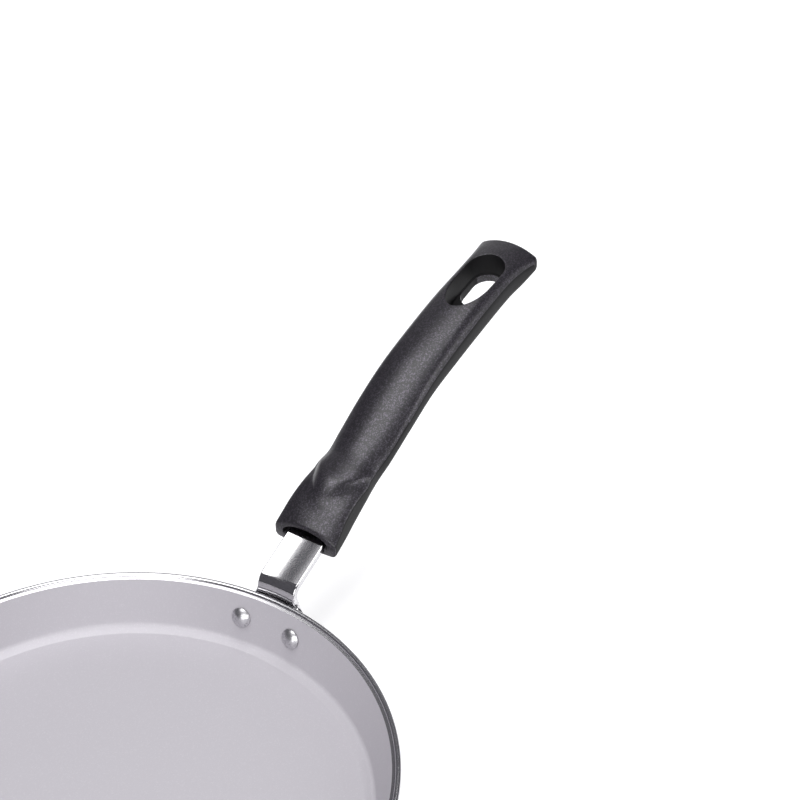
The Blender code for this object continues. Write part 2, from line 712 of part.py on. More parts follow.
def build_screw():
    """Pan-head screw with a cross recess, pointing up."""
    shank = SCREW_DIAMETER / 2
    head = SCREW_HEAD_DIAMETER / 2
    seat = seat_level() - 2 * SEAT_GAP - WASHER_THICKNESS
    bottom = seat - SCREW_HEAD_HEIGHT
    tip = BRACKET_THICKNESS + SCREW_TIP_RISE
    edge = SCREW_HEAD_HEIGHT * 0.45
    profile = [(0.0, tip), (shank - SCREW_TIP_CHAMFER, tip), (shank, tip - SCREW_TIP_CHAMFER)]
    profile += [(shank, seat), (head, seat)]
    profile += [(head, bottom + edge), (head * 0.93, bottom + edge * 0.42)]
    profile += [(head * 0.74, bottom + edge * 0.1), (head * 0.45, bottom), (0.0, bottom)]
    screw = make_object("handle_screw", turned(profile, FASTENER_SEGMENTS), "zinc_plated_steel")
    recess = bmesh.new()
    long_half, short_half = RECESS_SPAN / 2, RECESS_WIDTH / 2
    plus = [
        (long_half, short_half), (short_half, short_half), (short_half, long_half), (-short_half, long_half),
        (-short_half, short_half), (-long_half, short_half), (-long_half, -short_half), (-short_half, -short_half),
        (-short_half, -long_half), (short_half, -long_half), (short_half, -short_half), (long_half, -short_half),
    ]
    base = [recess.verts.new((x, y, bottom - CUT_OVERLAP)) for x, y in plus]
    face = recess.faces.new(base)
    lifted = bmesh.ops.extrude_face_region(recess, geom=[face])
    raised = [item for item in lifted["geom"] if isinstance(item, bmesh.types.BMVert)]
    bmesh.ops.translate(recess, verts=raised, vec=(0.0, 0.0, CUT_OVERLAP + RECESS_DEPTH))
    cutter = make_object("screw_recess", recess)
    screw.matrix_world = screw_frame()
    cutter.matrix_world = screw_frame()
    cut(screw, cutter)
    return screw


def build_washer():
    """Split spring washer: one open turn of a flat section."""
    inner = SCREW_DIAMETER / 2 + SHANK_GAP
    outer = WASHER_DIAMETER / 2
    low = seat_level() - SEAT_GAP - WASHER_THICKNESS
    high = low + WASHER_THICKNESS
    shape = bmesh.new()
    corners = [shape.verts.new(point) for point in ((inner, 0, low), (outer, 0, low), (outer, 0, high), (inner, 0, high))]
    face = shape.faces.new(corners)
    bmesh.ops.spin(
        shape, geom=[face], cent=(0.0, 0.0, 0.0), axis=(0.0, 0.0, 1.0),
        angle=math.tau - WASHER_GAP_ANGLE, steps=FASTENER_SEGMENTS,
    )
    washer = make_object("lock_washer", shape, "zinc_plated_steel")
    washer.matrix_world = screw_frame() @ Matrix.Rotation(WASHER_TURN, 4, "Z")
    return washer


def build():
    clear_scene()
    rivet_holes = [rivet_hole("hole_left", 1), rivet_hole("hole_right", -1)]
    screw_hole, screw_bore = build_screw_holes()
    build_pan(rivet_holes)
    build_bracket(rivet_holes, screw_hole)
    build_rivet("rivet_left", 1)
    build_rivet("rivet_right", -1)
    grip = make_object("handle_grip", build_grip_loft(), "moulded_phenolic")
    for cutter in build_hang_hole() + [build_tang_slot(), build_mouth_pocket(), screw_hole, screw_bore]:
        cut(grip, cutter)
    build_screw()
    build_washer()


build()
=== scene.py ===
"""Dressed crepe pan: pan, bracket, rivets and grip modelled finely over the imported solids, in a plain studio.

Units are metres and +Z is up. The pan stands on Z = 0 with its axis on Z, and the handle points along +X.
"""

import logging
import math
from collections.abc import Sequence
from dataclasses import dataclass, field
from enum import Enum

import bmesh
import bpy
from mathutils import Matrix, Vector


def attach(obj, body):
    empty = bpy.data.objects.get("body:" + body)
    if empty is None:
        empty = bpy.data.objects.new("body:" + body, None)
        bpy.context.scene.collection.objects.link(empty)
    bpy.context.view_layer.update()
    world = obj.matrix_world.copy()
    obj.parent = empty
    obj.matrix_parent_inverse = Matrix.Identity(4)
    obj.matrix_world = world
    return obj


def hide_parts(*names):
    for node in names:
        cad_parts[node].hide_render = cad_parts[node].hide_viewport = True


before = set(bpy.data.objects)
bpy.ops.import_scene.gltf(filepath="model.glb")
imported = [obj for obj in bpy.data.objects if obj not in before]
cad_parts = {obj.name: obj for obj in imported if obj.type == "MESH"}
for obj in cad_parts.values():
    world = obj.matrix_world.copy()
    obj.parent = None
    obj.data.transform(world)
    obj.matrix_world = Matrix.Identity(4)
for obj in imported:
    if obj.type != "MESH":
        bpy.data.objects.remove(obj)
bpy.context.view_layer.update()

LOG = logging.getLogger("crepe_pan")

MERGE_DISTANCE = 1e-6
SMOOTH_ANGLE = math.radians(32.0)
MILLIMETRE = 0.001
DRILL_SEGMENTS = 64

# Decimals by which a spun ring and a single point are told apart
RING_DIGITS = 5
POINT_DIGITS = 6

# The sRGB curve
SRGB_KNEE = 0.04045
SRGB_SLOPE = 12.92
SRGB_OFFSET = 0.055
SRGB_POWER = 2.4

# Room between pieces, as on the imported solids
SEAT_GAP = 0.0003
SHANK_GAP = 0.0003
HEAD_GAP = 0.0006
CUT_OVERLAP = 0.0010

Flat = tuple[float, float]
Station = tuple[float, float, float]


class Slot(Enum):
    """The record's material slots for the dressed pieces."""

    COATING = "coated_aluminium"
    BRACKET = "polished_steel"
    RIVET = "rivet_aluminium"
    GRIP = "moulded_phenolic"


class Side(Enum):
    """Side of the handle, as the sign of Y."""

    LEFT = 1
    RIGHT = -1


def linear_channel(value: float) -> float:
    """Turn one sRGB channel from 0 to 1 into linear light."""
    if value <= SRGB_KNEE:
        return value / SRGB_SLOPE
    return ((value + SRGB_OFFSET) / (1.0 + SRGB_OFFSET)) ** SRGB_POWER


def colour(code: str) -> tuple[float, float, float, float]:
    """Turn an sRGB hex code such as #b8b5ba into a linear colour with full alpha."""
    channels = [int(code[start:start + 2], 16) / 255.0 for start in (1, 3, 5)]
    red, green, blue = (linear_channel(channel) for channel in channels)
    return red, green, blue, 1.0


def arc(centre: Flat, radius: float, start: float, end: float, steps: int) -> list[Flat]:
    """Points on an arc from the start to the end angle in radians, both included, in equal steps."""
    angles = [start + (end - start) * step / steps for step in range(steps + 1)]
    return [(centre[0] + radius * math.cos(angle), centre[1] + radius * math.sin(angle)) for angle in angles]


def quarter(radius: float, angles: Sequence[float]) -> list[Flat]:
    """Way gone and way left on a quarter round, for each of its angles in degrees from 0 to 90."""
    turns = [math.radians(angle) for angle in angles]
    return [(radius * (1 - math.cos(turn)), radius * (1 - math.sin(turn))) for turn in turns]


def arc_radius(half: float, rise: float) -> float:
    """Radius of the arc over a chord of which half is given, with its rise."""
    return (half * half + rise * rise) / (2 * rise)


def round_drop(radius: float, off: float) -> float:
    """How far a round falls away at a distance off its highest point."""
    return radius - math.sqrt(max(radius ** 2 - off ** 2, 0.0))


def smooth_step(value: float) -> float:
    """Ease from 0 to 1 as the value goes from 0 to 1."""
    clamped = min(max(value, 0.0), 1.0)
    return clamped * clamped * (3 - 2 * clamped)


def spread(start: float, end: float, step: float) -> list[float]:
    """Even places after the start up to and including the end, about a step apart."""
    count = max(round((end - start) / step), 1)
    return [start + (end - start) * (index + 1) / count for index in range(count)]


def shade(mesh: bpy.types.Mesh) -> None:
    """Shade round surfaces smooth and keep the edges between faces that turn sharply."""
    mesh.shade_smooth()
    mesh.set_sharp_from_angle(angle=SMOOTH_ANGLE)


def to_object(name: str, shape: bmesh.types.BMesh) -> bpy.types.Object:
    """Make an object of a bmesh, with faces turned outwards and round surfaces shaded smooth.

    Args:
        name: The piece's name.
        shape: The closed shape, which is freed.

    Returns:
        The object, linked to the scene at the origin.
    """
    bmesh.ops.recalc_face_normals(shape, faces=shape.faces)
    mesh = bpy.data.meshes.new(name)
    shape.to_mesh(mesh)
    shape.free()
    shade(mesh)
    piece = bpy.data.objects.new(name, mesh)
    bpy.context.scene.collection.objects.link(piece)
    return piece


def ring_key(radius: float, height: float) -> Flat:
    """Name a spun ring by its rounded radius and height."""
    return round(radius, RING_DIGITS), round(height, RING_DIGITS)


def point_key(point: Vector) -> tuple[float, ...]:
    """Name a point by its rounded coordinates."""
    return tuple(round(value, POINT_DIGITS) for value in point)


def spun(profile: Sequence[Flat], segments: int) -> bmesh.types.BMesh:
    """Spin a half section round Z into one closed shape.

    Args:
        profile: Points of radius and height, which start and end on the axis.
        segments: Number of steps round the axis.

    Returns:
        The closed shape.
    """
    shape = bmesh.new()
    chain = [shape.verts.new((radius, 0.0, height)) for radius, height in profile]
    edges = [shape.edges.new(pair) for pair in zip(chain, chain[1:])]
    bmesh.ops.spin(
        shape, geom=chain + edges, cent=(0.0, 0.0, 0.0), axis=(0.0, 0.0, 1.0),
        angle=math.tau, steps=segments, use_merge=True,
    )
    bmesh.ops.remove_doubles(shape, verts=shape.verts, dist=MERGE_DISTANCE)
    return shape


def tube(rings: Sequence[Sequence[Vector]]) -> bmesh.types.BMesh:
    """Wrap a grid round rings that have the same number of points, and leave both ends open.

    Args:
        rings: The rings in order, each one running round the shape the same way.

    Returns:
        The open shape, closed round its seam.
    """
    rows = len(rings) - 1
    columns = len(rings[0])
    shape = bmesh.new()
    bmesh.ops.create_grid(shape, x_segments=rows, y_segments=columns, size=1.0)
    for vert in shape.verts:
        row = round((vert.co.x + 1.0) / 2.0 * rows)
        column = round((vert.co.y + 1.0) / 2.0 * columns) % columns
        vert.co = rings[row][column]
    bmesh.ops.remove_doubles(shape, verts=shape.verts, dist=MERGE_DISTANCE)
    return shape


def open_edges(shape: bmesh.types.BMesh) -> list[bmesh.types.BMEdge]:
    """Edges with a face on one side only."""
    return [edge for edge in shape.edges if edge.is_boundary]


def skinned(name: str, rings: Sequence[Sequence[Vector]]) -> bpy.types.Object:
    """Make an object of a skin round rings, with each end closed by one face."""
    shape = tube(rings)
    bmesh.ops.holes_fill(shape, edges=open_edges(shape), sides=0)
    return to_object(name, shape)


def bore(piece: bpy.types.Object, cutters: Sequence[bpy.types.Object]) -> None:
    """Cut shapes out of a piece, keep the result as its mesh and remove the cutters.

    Args:
        piece: The piece to cut.
        cutters: Closed shapes to take away from it.
    """
    for cutter in cutters:
        modifier = piece.modifiers.new(cutter.name, "BOOLEAN")
        modifier.operation = "DIFFERENCE"
        modifier.solver = "EXACT"
        modifier.object = cutter
    graph = bpy.context.evaluated_depsgraph_get()
    cut_mesh = bpy.data.meshes.new_from_object(piece.evaluated_get(graph))
    piece.modifiers.clear()
    whole_mesh = piece.data
    piece.data = cut_mesh
    bpy.data.meshes.remove(whole_mesh)
    cut_mesh.name = piece.name
    shade(cut_mesh)
    for cutter in cutters:
        bpy.data.objects.remove(cutter)


def drill(name: str, radius: float, low: float, high: float, place: Matrix) -> bpy.types.Object:
    """Round cutter along the Z axis of a frame.

    Args:
        name: The cutter's name.
        radius: Its radius.
        low: Its lower end along the frame's Z axis.
        high: Its upper end.
        place: The frame, from its own to the world's coordinates.

    Returns:
        The cutter, with its place in its mesh.
    """
    shape = bmesh.new()
    bmesh.ops.create_circle(shape, cap_ends=True, segments=DRILL_SEGMENTS, radius=radius)
    bmesh.ops.translate(shape, verts=shape.verts, vec=(0.0, 0.0, low))
    lifted = bmesh.ops.extrude_face_region(shape, geom=shape.faces[:])
    raised = [item for item in lifted["geom"] if isinstance(item, bmesh.types.BMVert)]
    bmesh.ops.translate(shape, verts=raised, vec=(0.0, 0.0, high - low))
    bmesh.ops.transform(shape, matrix=place, verts=shape.verts)
    return to_object(name, shape)


def scale_of(size_mm: float) -> float:
    """Texture scale for features of a real size in millimetres."""
    return 1.0 / (size_mm * MILLIMETRE)


class Recipe:
    """A material under construction, with its Principled shader."""

    def __init__(self, name: str) -> None:
        """Start with a plain Principled shader."""
        self.material = bpy.data.materials.new(name)
        self.material.use_nodes = True
        self.nodes = self.material.node_tree.nodes
        self.links = self.material.node_tree.links
        self.shader = self.nodes["Principled BSDF"]

    def feed(self, node: bpy.types.Node, sockets: dict) -> None:
        """Set a node's inputs to constants, or link them to output sockets."""
        for name, value in sockets.items():
            if isinstance(value, bpy.types.NodeSocket):
                self.links.new(value, node.inputs[name])
            else:
                node.inputs[name].default_value = value

    def shade(self, sockets: dict) -> None:
        """Feed the Principled shader."""
        self.feed(self.shader, sockets)

    def add(self, kind: str, sockets: dict | None = None, **settings: object) -> bpy.types.Node:
        """Add a node.

        Args:
            kind: The node's type name.
            sockets: Values or output sockets for its inputs, by name or number.
            settings: Properties of the node itself.

        Returns:
            The new node.
        """
        node = self.nodes.new(kind)
        for name, value in settings.items():
            setattr(node, name, value)
        self.feed(node, sockets or {})
        return node

    def place(self) -> bpy.types.NodeSocket:
        """The piece's own coordinates."""
        node = self.nodes.get("Texture Coordinate") or self.add("ShaderNodeTexCoord")
        return node.outputs["Object"]

    def noise(self, size_mm: float, detail: float, **sockets: float) -> bpy.types.NodeSocket:
        """Clouds from 0 to 1, with features of a size in millimetres."""
        base = {"Vector": self.place(), "Scale": scale_of(size_mm), "Detail": detail}
        return self.add("ShaderNodeTexNoise", {**base, **sockets}).outputs["Fac"]

    def flakes(self, size_mm: float) -> bpy.types.bpy_prop_collection:
        """Channels Red, Green and Blue with a random value for every flake of a size in millimetres."""
        cells = self.add("ShaderNodeTexVoronoi", {"Vector": self.place(), "Scale": scale_of(size_mm)})
        return self.add("ShaderNodeSeparateColor", {"Color": cells.outputs["Color"]}).outputs

    def ramp(self, value: bpy.types.NodeSocket, to: Flat, source: Flat = (0.0, 1.0)) -> bpy.types.NodeSocket:
        """Map a value from a source range to another, and hold it at both ends."""
        sockets = {"From Min": source[0], "From Max": source[1], "To Min": to[0], "To Max": to[1]}
        return self.add("ShaderNodeMapRange", {"Value": value, **sockets}).outputs["Result"]

    def blend(self, share: bpy.types.NodeSocket, base: str, other: str) -> bpy.types.NodeSocket:
        """Blend from one hex colour to another by a share from 0 to 1."""
        sockets = {"Factor": share, 6: colour(base), 7: colour(other)}
        return self.add("ShaderNodeMix", sockets, data_type="RGBA").outputs[2]

    def bump(self, height: bpy.types.NodeSocket, strength: float, depth_mm: float) -> bpy.types.NodeSocket:
        """Turn a height from 0 to 1 into a relief of a depth in millimetres."""
        sockets = {"Height": height, "Strength": strength, "Distance": depth_mm * MILLIMETRE}
        return self.add("ShaderNodeBump", sockets).outputs["Normal"]


@dataclass(frozen=True)
class PearlCoating:
    """Sprayed non-stick coating in pearl grey: satin, faintly violet, with fine mica flakes that sparkle."""

    base: str = "#bab7bd"
    flake: str = "#dedce0"
    flake_mm: float = 0.4
    flake_share: float = 0.20
    flake_tone: float = 0.16
    mottle_mm: float = 1.2
    metallic: float = 0.10
    roughness: Flat = (0.40, 0.52)
    bump_strength: float = 0.05
    bump_depth_mm: float = 0.05

    def build(self) -> bpy.types.Material:
        """Make the material. Its mica is drawn at 0.4 mm, coarser than the real 0.05 mm, to show."""
        recipe = Recipe("pearl_nonstick_coating")
        chosen = recipe.flakes(self.flake_mm)
        bright = recipe.ramp(chosen["Red"], (0.0, self.flake_tone), (1.0 - self.flake_share, 1.0))
        mottle = recipe.noise(self.mottle_mm, 3.0)
        recipe.shade({
            "Base Color": recipe.blend(bright, self.base, self.flake),
            "Metallic": self.metallic,
            "Roughness": recipe.ramp(mottle, self.roughness),
            "Normal": recipe.bump(chosen["Green"], self.bump_strength, self.bump_depth_mm),
        })
        return recipe.material


@dataclass(frozen=True)
class TurnedAluminium:
    """Bare aluminium faced on a lathe: bright, with fine concentric tool lines."""

    base: str = "#cfced1"
    line_mm: float = 0.35
    roughness: Flat = (0.15, 0.27)
    bump_strength: float = 0.10
    bump_depth_mm: float = 0.02

    def build(self) -> bpy.types.Material:
        """Make the material. Its lines are drawn at 0.35 mm, coarser than the real 0.1 mm, to show."""
        recipe = Recipe("turned_aluminium")
        across = {0: recipe.place(), 1: (1.0, 1.0, 0.0)}
        flat = recipe.add("ShaderNodeVectorMath", across, operation="MULTIPLY")
        radius = recipe.add("ShaderNodeVectorMath", {0: flat.outputs[0]}, operation="LENGTH")
        sockets = {"W": radius.outputs["Value"], "Scale": scale_of(self.line_mm), "Detail": 2.0}
        lines = recipe.add("ShaderNodeTexNoise", sockets, noise_dimensions="1D").outputs["Fac"]
        recipe.shade({
            "Base Color": colour(self.base),
            "Metallic": 1.0,
            "Roughness": recipe.ramp(lines, self.roughness),
            "Normal": recipe.bump(lines, self.bump_strength, self.bump_depth_mm),
        })
        return recipe.material


@dataclass(frozen=True)
class PolishedSteel:
    """Stainless steel strip, mechanically polished: a mirror with a faint cloudy grain."""

    name: str = "polished_stainless_steel"
    base: str = "#d6d5d7"
    cloud: str = "#a9a8ab"
    cloud_range: Flat = (0.50, 0.75)
    grain_mm: float = 0.5
    roughness: Flat = (0.05, 0.13)
    grain_depth_mm: float = 0.002

    def build(self) -> bpy.types.Material:
        """Make the material. Its grain is drawn at 0.5 mm, coarser than the real 0.05 mm, to show."""
        recipe = Recipe(self.name)
        grain = recipe.noise(self.grain_mm, 1.0)
        clouded = recipe.ramp(grain, (0.0, 1.0), self.cloud_range)
        recipe.shade({
            "Base Color": recipe.blend(clouded, self.base, self.cloud),
            "Metallic": 1.0,
            "Roughness": recipe.ramp(grain, self.roughness),
            "Normal": recipe.bump(grain, 1.0, self.grain_depth_mm),
        })
        return recipe.material


@dataclass(frozen=True)
class ZincPlate:
    """Bright zinc plating on steel: a bluish satin metal with soft clouding."""

    base: str = "#b9bcc0"
    cloud_mm: float = 1.2
    roughness: Flat = (0.22, 0.40)

    def build(self) -> bpy.types.Material:
        """Make the material."""
        recipe = Recipe("zinc_plated_steel")
        roughness = recipe.ramp(recipe.noise(self.cloud_mm, 3.0), self.roughness)
        recipe.shade({"Base Color": colour(self.base), "Metallic": 1.0, "Roughness": roughness})
        return recipe.material


@dataclass(frozen=True)
class SpeckledPhenolic:
    """Compression-moulded phenolic: violet black, finely grained, with flakes that show in a highlight."""

    base: str = "#1e1c21"
    fleck: str = "#a6a0ad"
    grain_mm: float = 0.48
    fleck_share: float = 0.45
    fleck_metal: float = 0.9
    fleck_tone: float = 0.25
    roughness: Flat = (0.25, 0.45)
    fine_grain: float = 0.6
    bump_strength: float = 0.6
    grain_depth_mm: float = 0.036
    index: float = 1.50

    def build(self) -> bpy.types.Material:
        """Make the material. Its grain is drawn at 0.48 mm, coarser than the real 0.15 mm, to show."""
        recipe = Recipe("speckled_phenolic")
        chosen = recipe.flakes(self.grain_mm)["Red"]
        share = (1.0 - self.fleck_share, 1.0)
        pale = recipe.ramp(chosen, (0.0, self.fleck_tone), share)
        grain = recipe.noise(self.grain_mm, 4.0, Roughness=self.fine_grain)
        recipe.shade({
            "Base Color": recipe.blend(pale, self.base, self.fleck),
            "Metallic": recipe.ramp(chosen, (0.0, self.fleck_metal), share),
            "Roughness": recipe.ramp(grain, self.roughness),
            "IOR": self.index,
            "Normal": recipe.bump(grain, self.bump_strength, self.grain_depth_mm),
        })
        return recipe.material


@dataclass(frozen=True)
class PaintedShadeSkin:
    """Phenolic without flakes, darker and duller than the grip's own: painted shade in the hang hole and on the
    flanks.
    """

    # painted shade: a colour darker than the grip's own phenolic, with a weaker reflection from the low IOR
    base: str = "#0e0d0f"
    ripple_mm: float = 0.8
    roughness: Flat = (0.49, 0.61)
    index: float = 1.3

    def build(self) -> bpy.types.Material:
        """Make the material."""
        recipe = Recipe("phenolic_painted_shade")
        roughness = recipe.ramp(recipe.noise(self.ripple_mm, 2.0), self.roughness)
        recipe.shade({"Base Color": colour(self.base), "Roughness": roughness, "IOR": self.index})
        return recipe.material


@dataclass(frozen=True)
class StudioPaper:
    """Matt pale paper of the floor, lifted to white where the camera or a mirror sees it."""

    base: str = "#cbcbcd"
    lift: float = 0.68
    roughness: float = 0.9
    specular: float = 0.1

    def build(self) -> bpy.types.Material:
        """Make the material. The lift adds to the lit paper, so the object's shadow stays."""
        recipe = Recipe("studio_paper")
        path = recipe.add("ShaderNodeLightPath").outputs
        seen = path["Is Camera Ray"]
        for kind in ("Is Glossy Ray", "Is Transmission Ray"):
            seen = recipe.add("ShaderNodeMath", {0: seen, 1: path[kind]}, operation="MAXIMUM").outputs[0]
        lifted = recipe.add("ShaderNodeMath", {0: seen, 1: self.lift}, operation="MULTIPLY").outputs[0]
        recipe.shade({
            "Base Color": colour(self.base), "Roughness": self.roughness, "Specular IOR Level": self.specular,
            "Emission Color": (1.0, 1.0, 1.0, 1.0), "Emission Strength": lifted,
        })
        return recipe.material


Finish = PearlCoating | TurnedAluminium | PolishedSteel | ZincPlate | SpeckledPhenolic | PaintedShadeSkin


def coat(piece: bpy.types.Object, *finishes: Finish) -> None:
    """Give a piece its materials, in the order of the numbers on its faces."""
    piece.data.materials.clear()
    for finish in finishes:
        piece.data.materials.append(finish.build())


@dataclass
class Pan:
    """Pressed aluminium pan: flat floor, flared wall, bare turned lip and a contact disc underneath."""

    rim_radius: float = 0.1202
    height: float = 0.0264
    flare: float = math.radians(19.5)
    wall: float = 0.0036
    base: float = 0.0032
    lip_radius: float = 0.0013
    land_drop: float = 0.0015
    land_slope: float = math.radians(15.0)
    chamfer_width: float = 0.0026
    chamfer_rise: float = 0.0012
    inner_fillet: float = 0.0021
    outer_fillet: float = 0.0070
    contact_inset: float = 0.0045
    contact_step: float = 0.0008
    bare_share: float = 0.8
    contact_bevel: float = 0.0012
    edge_ease: float = 0.0003
    ease_segments: int = 3
    segments: int = 288
    floor_rings: tuple[float, ...] = (0.25, 0.5, 0.75, 0.95)
    inner_steps: int = 10
    outer_steps: int = 14
    lip_steps: int = 18
    wall_step: float = 0.002
    rivet_spacing: float = 0.0262
    rivet_height: float = 0.0150

    def lip_centre(self) -> Flat:
        """Centre of the lip's round."""
        return self.rim_radius - self.lip_radius, self.height - self.lip_radius

    def outer_radius(self, height: float) -> float:
        """Radius of the wall's outer face at a height."""
        radius, level = self.lip_centre()
        radius += self.lip_radius * math.cos(self.flare)
        level -= self.lip_radius * math.sin(self.flare)
        return radius - math.tan(self.flare) * (level - height)

    def inner_radius(self, height: float) -> float:
        """Radius of the wall's inner face at a height."""
        return self.outer_radius(height) - self.wall / math.cos(self.flare)

    def foot_fillet(self, corner: float, level: float, fillet: float, steps: int) -> list[Flat]:
        """Round from a level face up into the wall, which would meet that face at the corner's radius."""
        turn = math.pi / 2 - self.flare
        centre = (corner - fillet * math.tan(turn / 2), level + fillet)
        return arc(centre, fillet, -math.pi / 2, -self.flare, steps)

    def inner_foot(self) -> list[Flat]:
        """Round from the floor's raised edge up into the wall's inner face."""
        level = self.base + self.chamfer_rise
        return self.foot_fillet(self.inner_radius(level), level, self.inner_fillet, self.inner_steps)

    def outer_foot(self) -> list[Flat]:
        """Round from the underside up into the wall's outer face."""
        level = self.contact_step
        return self.foot_fillet(self.outer_radius(level), level, self.outer_fillet, self.outer_steps)

    def land_meets_lip(self, inner: Flat) -> float:
        """Angle on the lip's round at which the sloping land runs into it."""
        centre = Vector(self.lip_centre())
        start = Vector(inner) - centre
        along = Vector((math.cos(self.land_slope), math.sin(self.land_slope)))
        half = start.dot(along)
        reach = -half - math.sqrt(half * half - start.length_squared + self.lip_radius ** 2)
        meeting = start + along * reach
        return math.atan2(meeting.y, meeting.x)

    def profile(self) -> list[Flat]:
        """Half section from the floor's centre over the rim to the underside's centre.

        Rings close to each edge keep the flat faces flat in the shading.
        """
        inner, outer = self.inner_foot(), self.outer_foot()
        floor_edge = inner[0][0] - self.chamfer_width
        land_level = self.height - self.land_drop
        land = (self.inner_radius(land_level), land_level)
        meeting = self.land_meets_lip(land)
        contact = outer[0][0] - self.contact_inset
        close = 3 * self.edge_ease
        rings = [floor_edge * share for share in self.floor_rings]
        points = [(radius, self.base) for radius in [0.0, *rings, floor_edge - close, floor_edge]]
        points += inner
        levels = spread(inner[-1][1], land_level - close, self.wall_step)
        points += [(self.inner_radius(level), level) for level in levels]
        points.append(land)
        points += arc(self.lip_centre(), self.lip_radius, meeting, -self.flare, self.lip_steps)
        levels = spread(points[-1][1], outer[-1][1], self.wall_step)[:-1]
        points += [(self.outer_radius(level), level) for level in levels]
        points += reversed(outer)
        points += [(contact + close, self.contact_step), (contact, self.contact_step)]
        contact -= self.contact_bevel
        return points + [(radius, 0.0) for radius in [contact, contact - close, *rings[::-1], 0.0]]

    def eased_edges(self) -> list[Flat]:
        """The floor's edge, the chamfer's upper edge and the contact disc's edge, which get a small round."""
        inner = self.inner_foot()[0]
        contact = self.outer_foot()[0][0] - self.contact_inset - self.contact_bevel
        return [(inner[0] - self.chamfer_width, self.base), inner, (contact, 0.0)]

    def rivet_frame(self, side: Side) -> Matrix:
        """Frame on the wall's inner face at a rivet, with its Z axis square off the wall into the pan."""
        radius = self.inner_radius(self.rivet_height)
        turn = Matrix.Rotation(side.value * math.asin(self.rivet_spacing / 2 / radius), 4, "Z")
        place = Matrix.Translation((radius, 0.0, self.rivet_height))
        return turn @ place @ Matrix.Rotation(-(math.pi / 2 - self.flare), 4, "Y")

    def build(self, cutters: Sequence[bpy.types.Object]) -> bpy.types.Object:
        """Spin the pan, ease its edges and cut the rivet holes."""
        shape = spun(self.profile(), self.segments)
        eased = {ring_key(*edge) for edge in self.eased_edges()}
        rings = []
        for edge in shape.edges:
            ends = {ring_key(vert.co.xy.length, vert.co.z) for vert in edge.verts}
            if len(ends) == 1 and ends <= eased:
                rings.append(edge)
        bmesh.ops.bevel(
            shape, geom=rings, offset=self.edge_ease, offset_type="OFFSET", segments=self.ease_segments,
            profile=0.5, affect="EDGES", material=-1, clamp_overlap=False,
        )
        piece = to_object("pan_shell", shape)
        bore(piece, cutters)
        return piece

    def dress(self, piece: bpy.types.Object) -> None:
        """Coat the pan inside and out, and leave the lip, its land and the contact disc bare."""
        coat(piece, PearlCoating(), TurnedAluminium())
        bare_above = self.height - self.land_drop
        bare_below = self.contact_step * self.bare_share
        for face in piece.data.polygons:
            face.material_index = int(face.center.z > bare_above or face.center.z < bare_below)


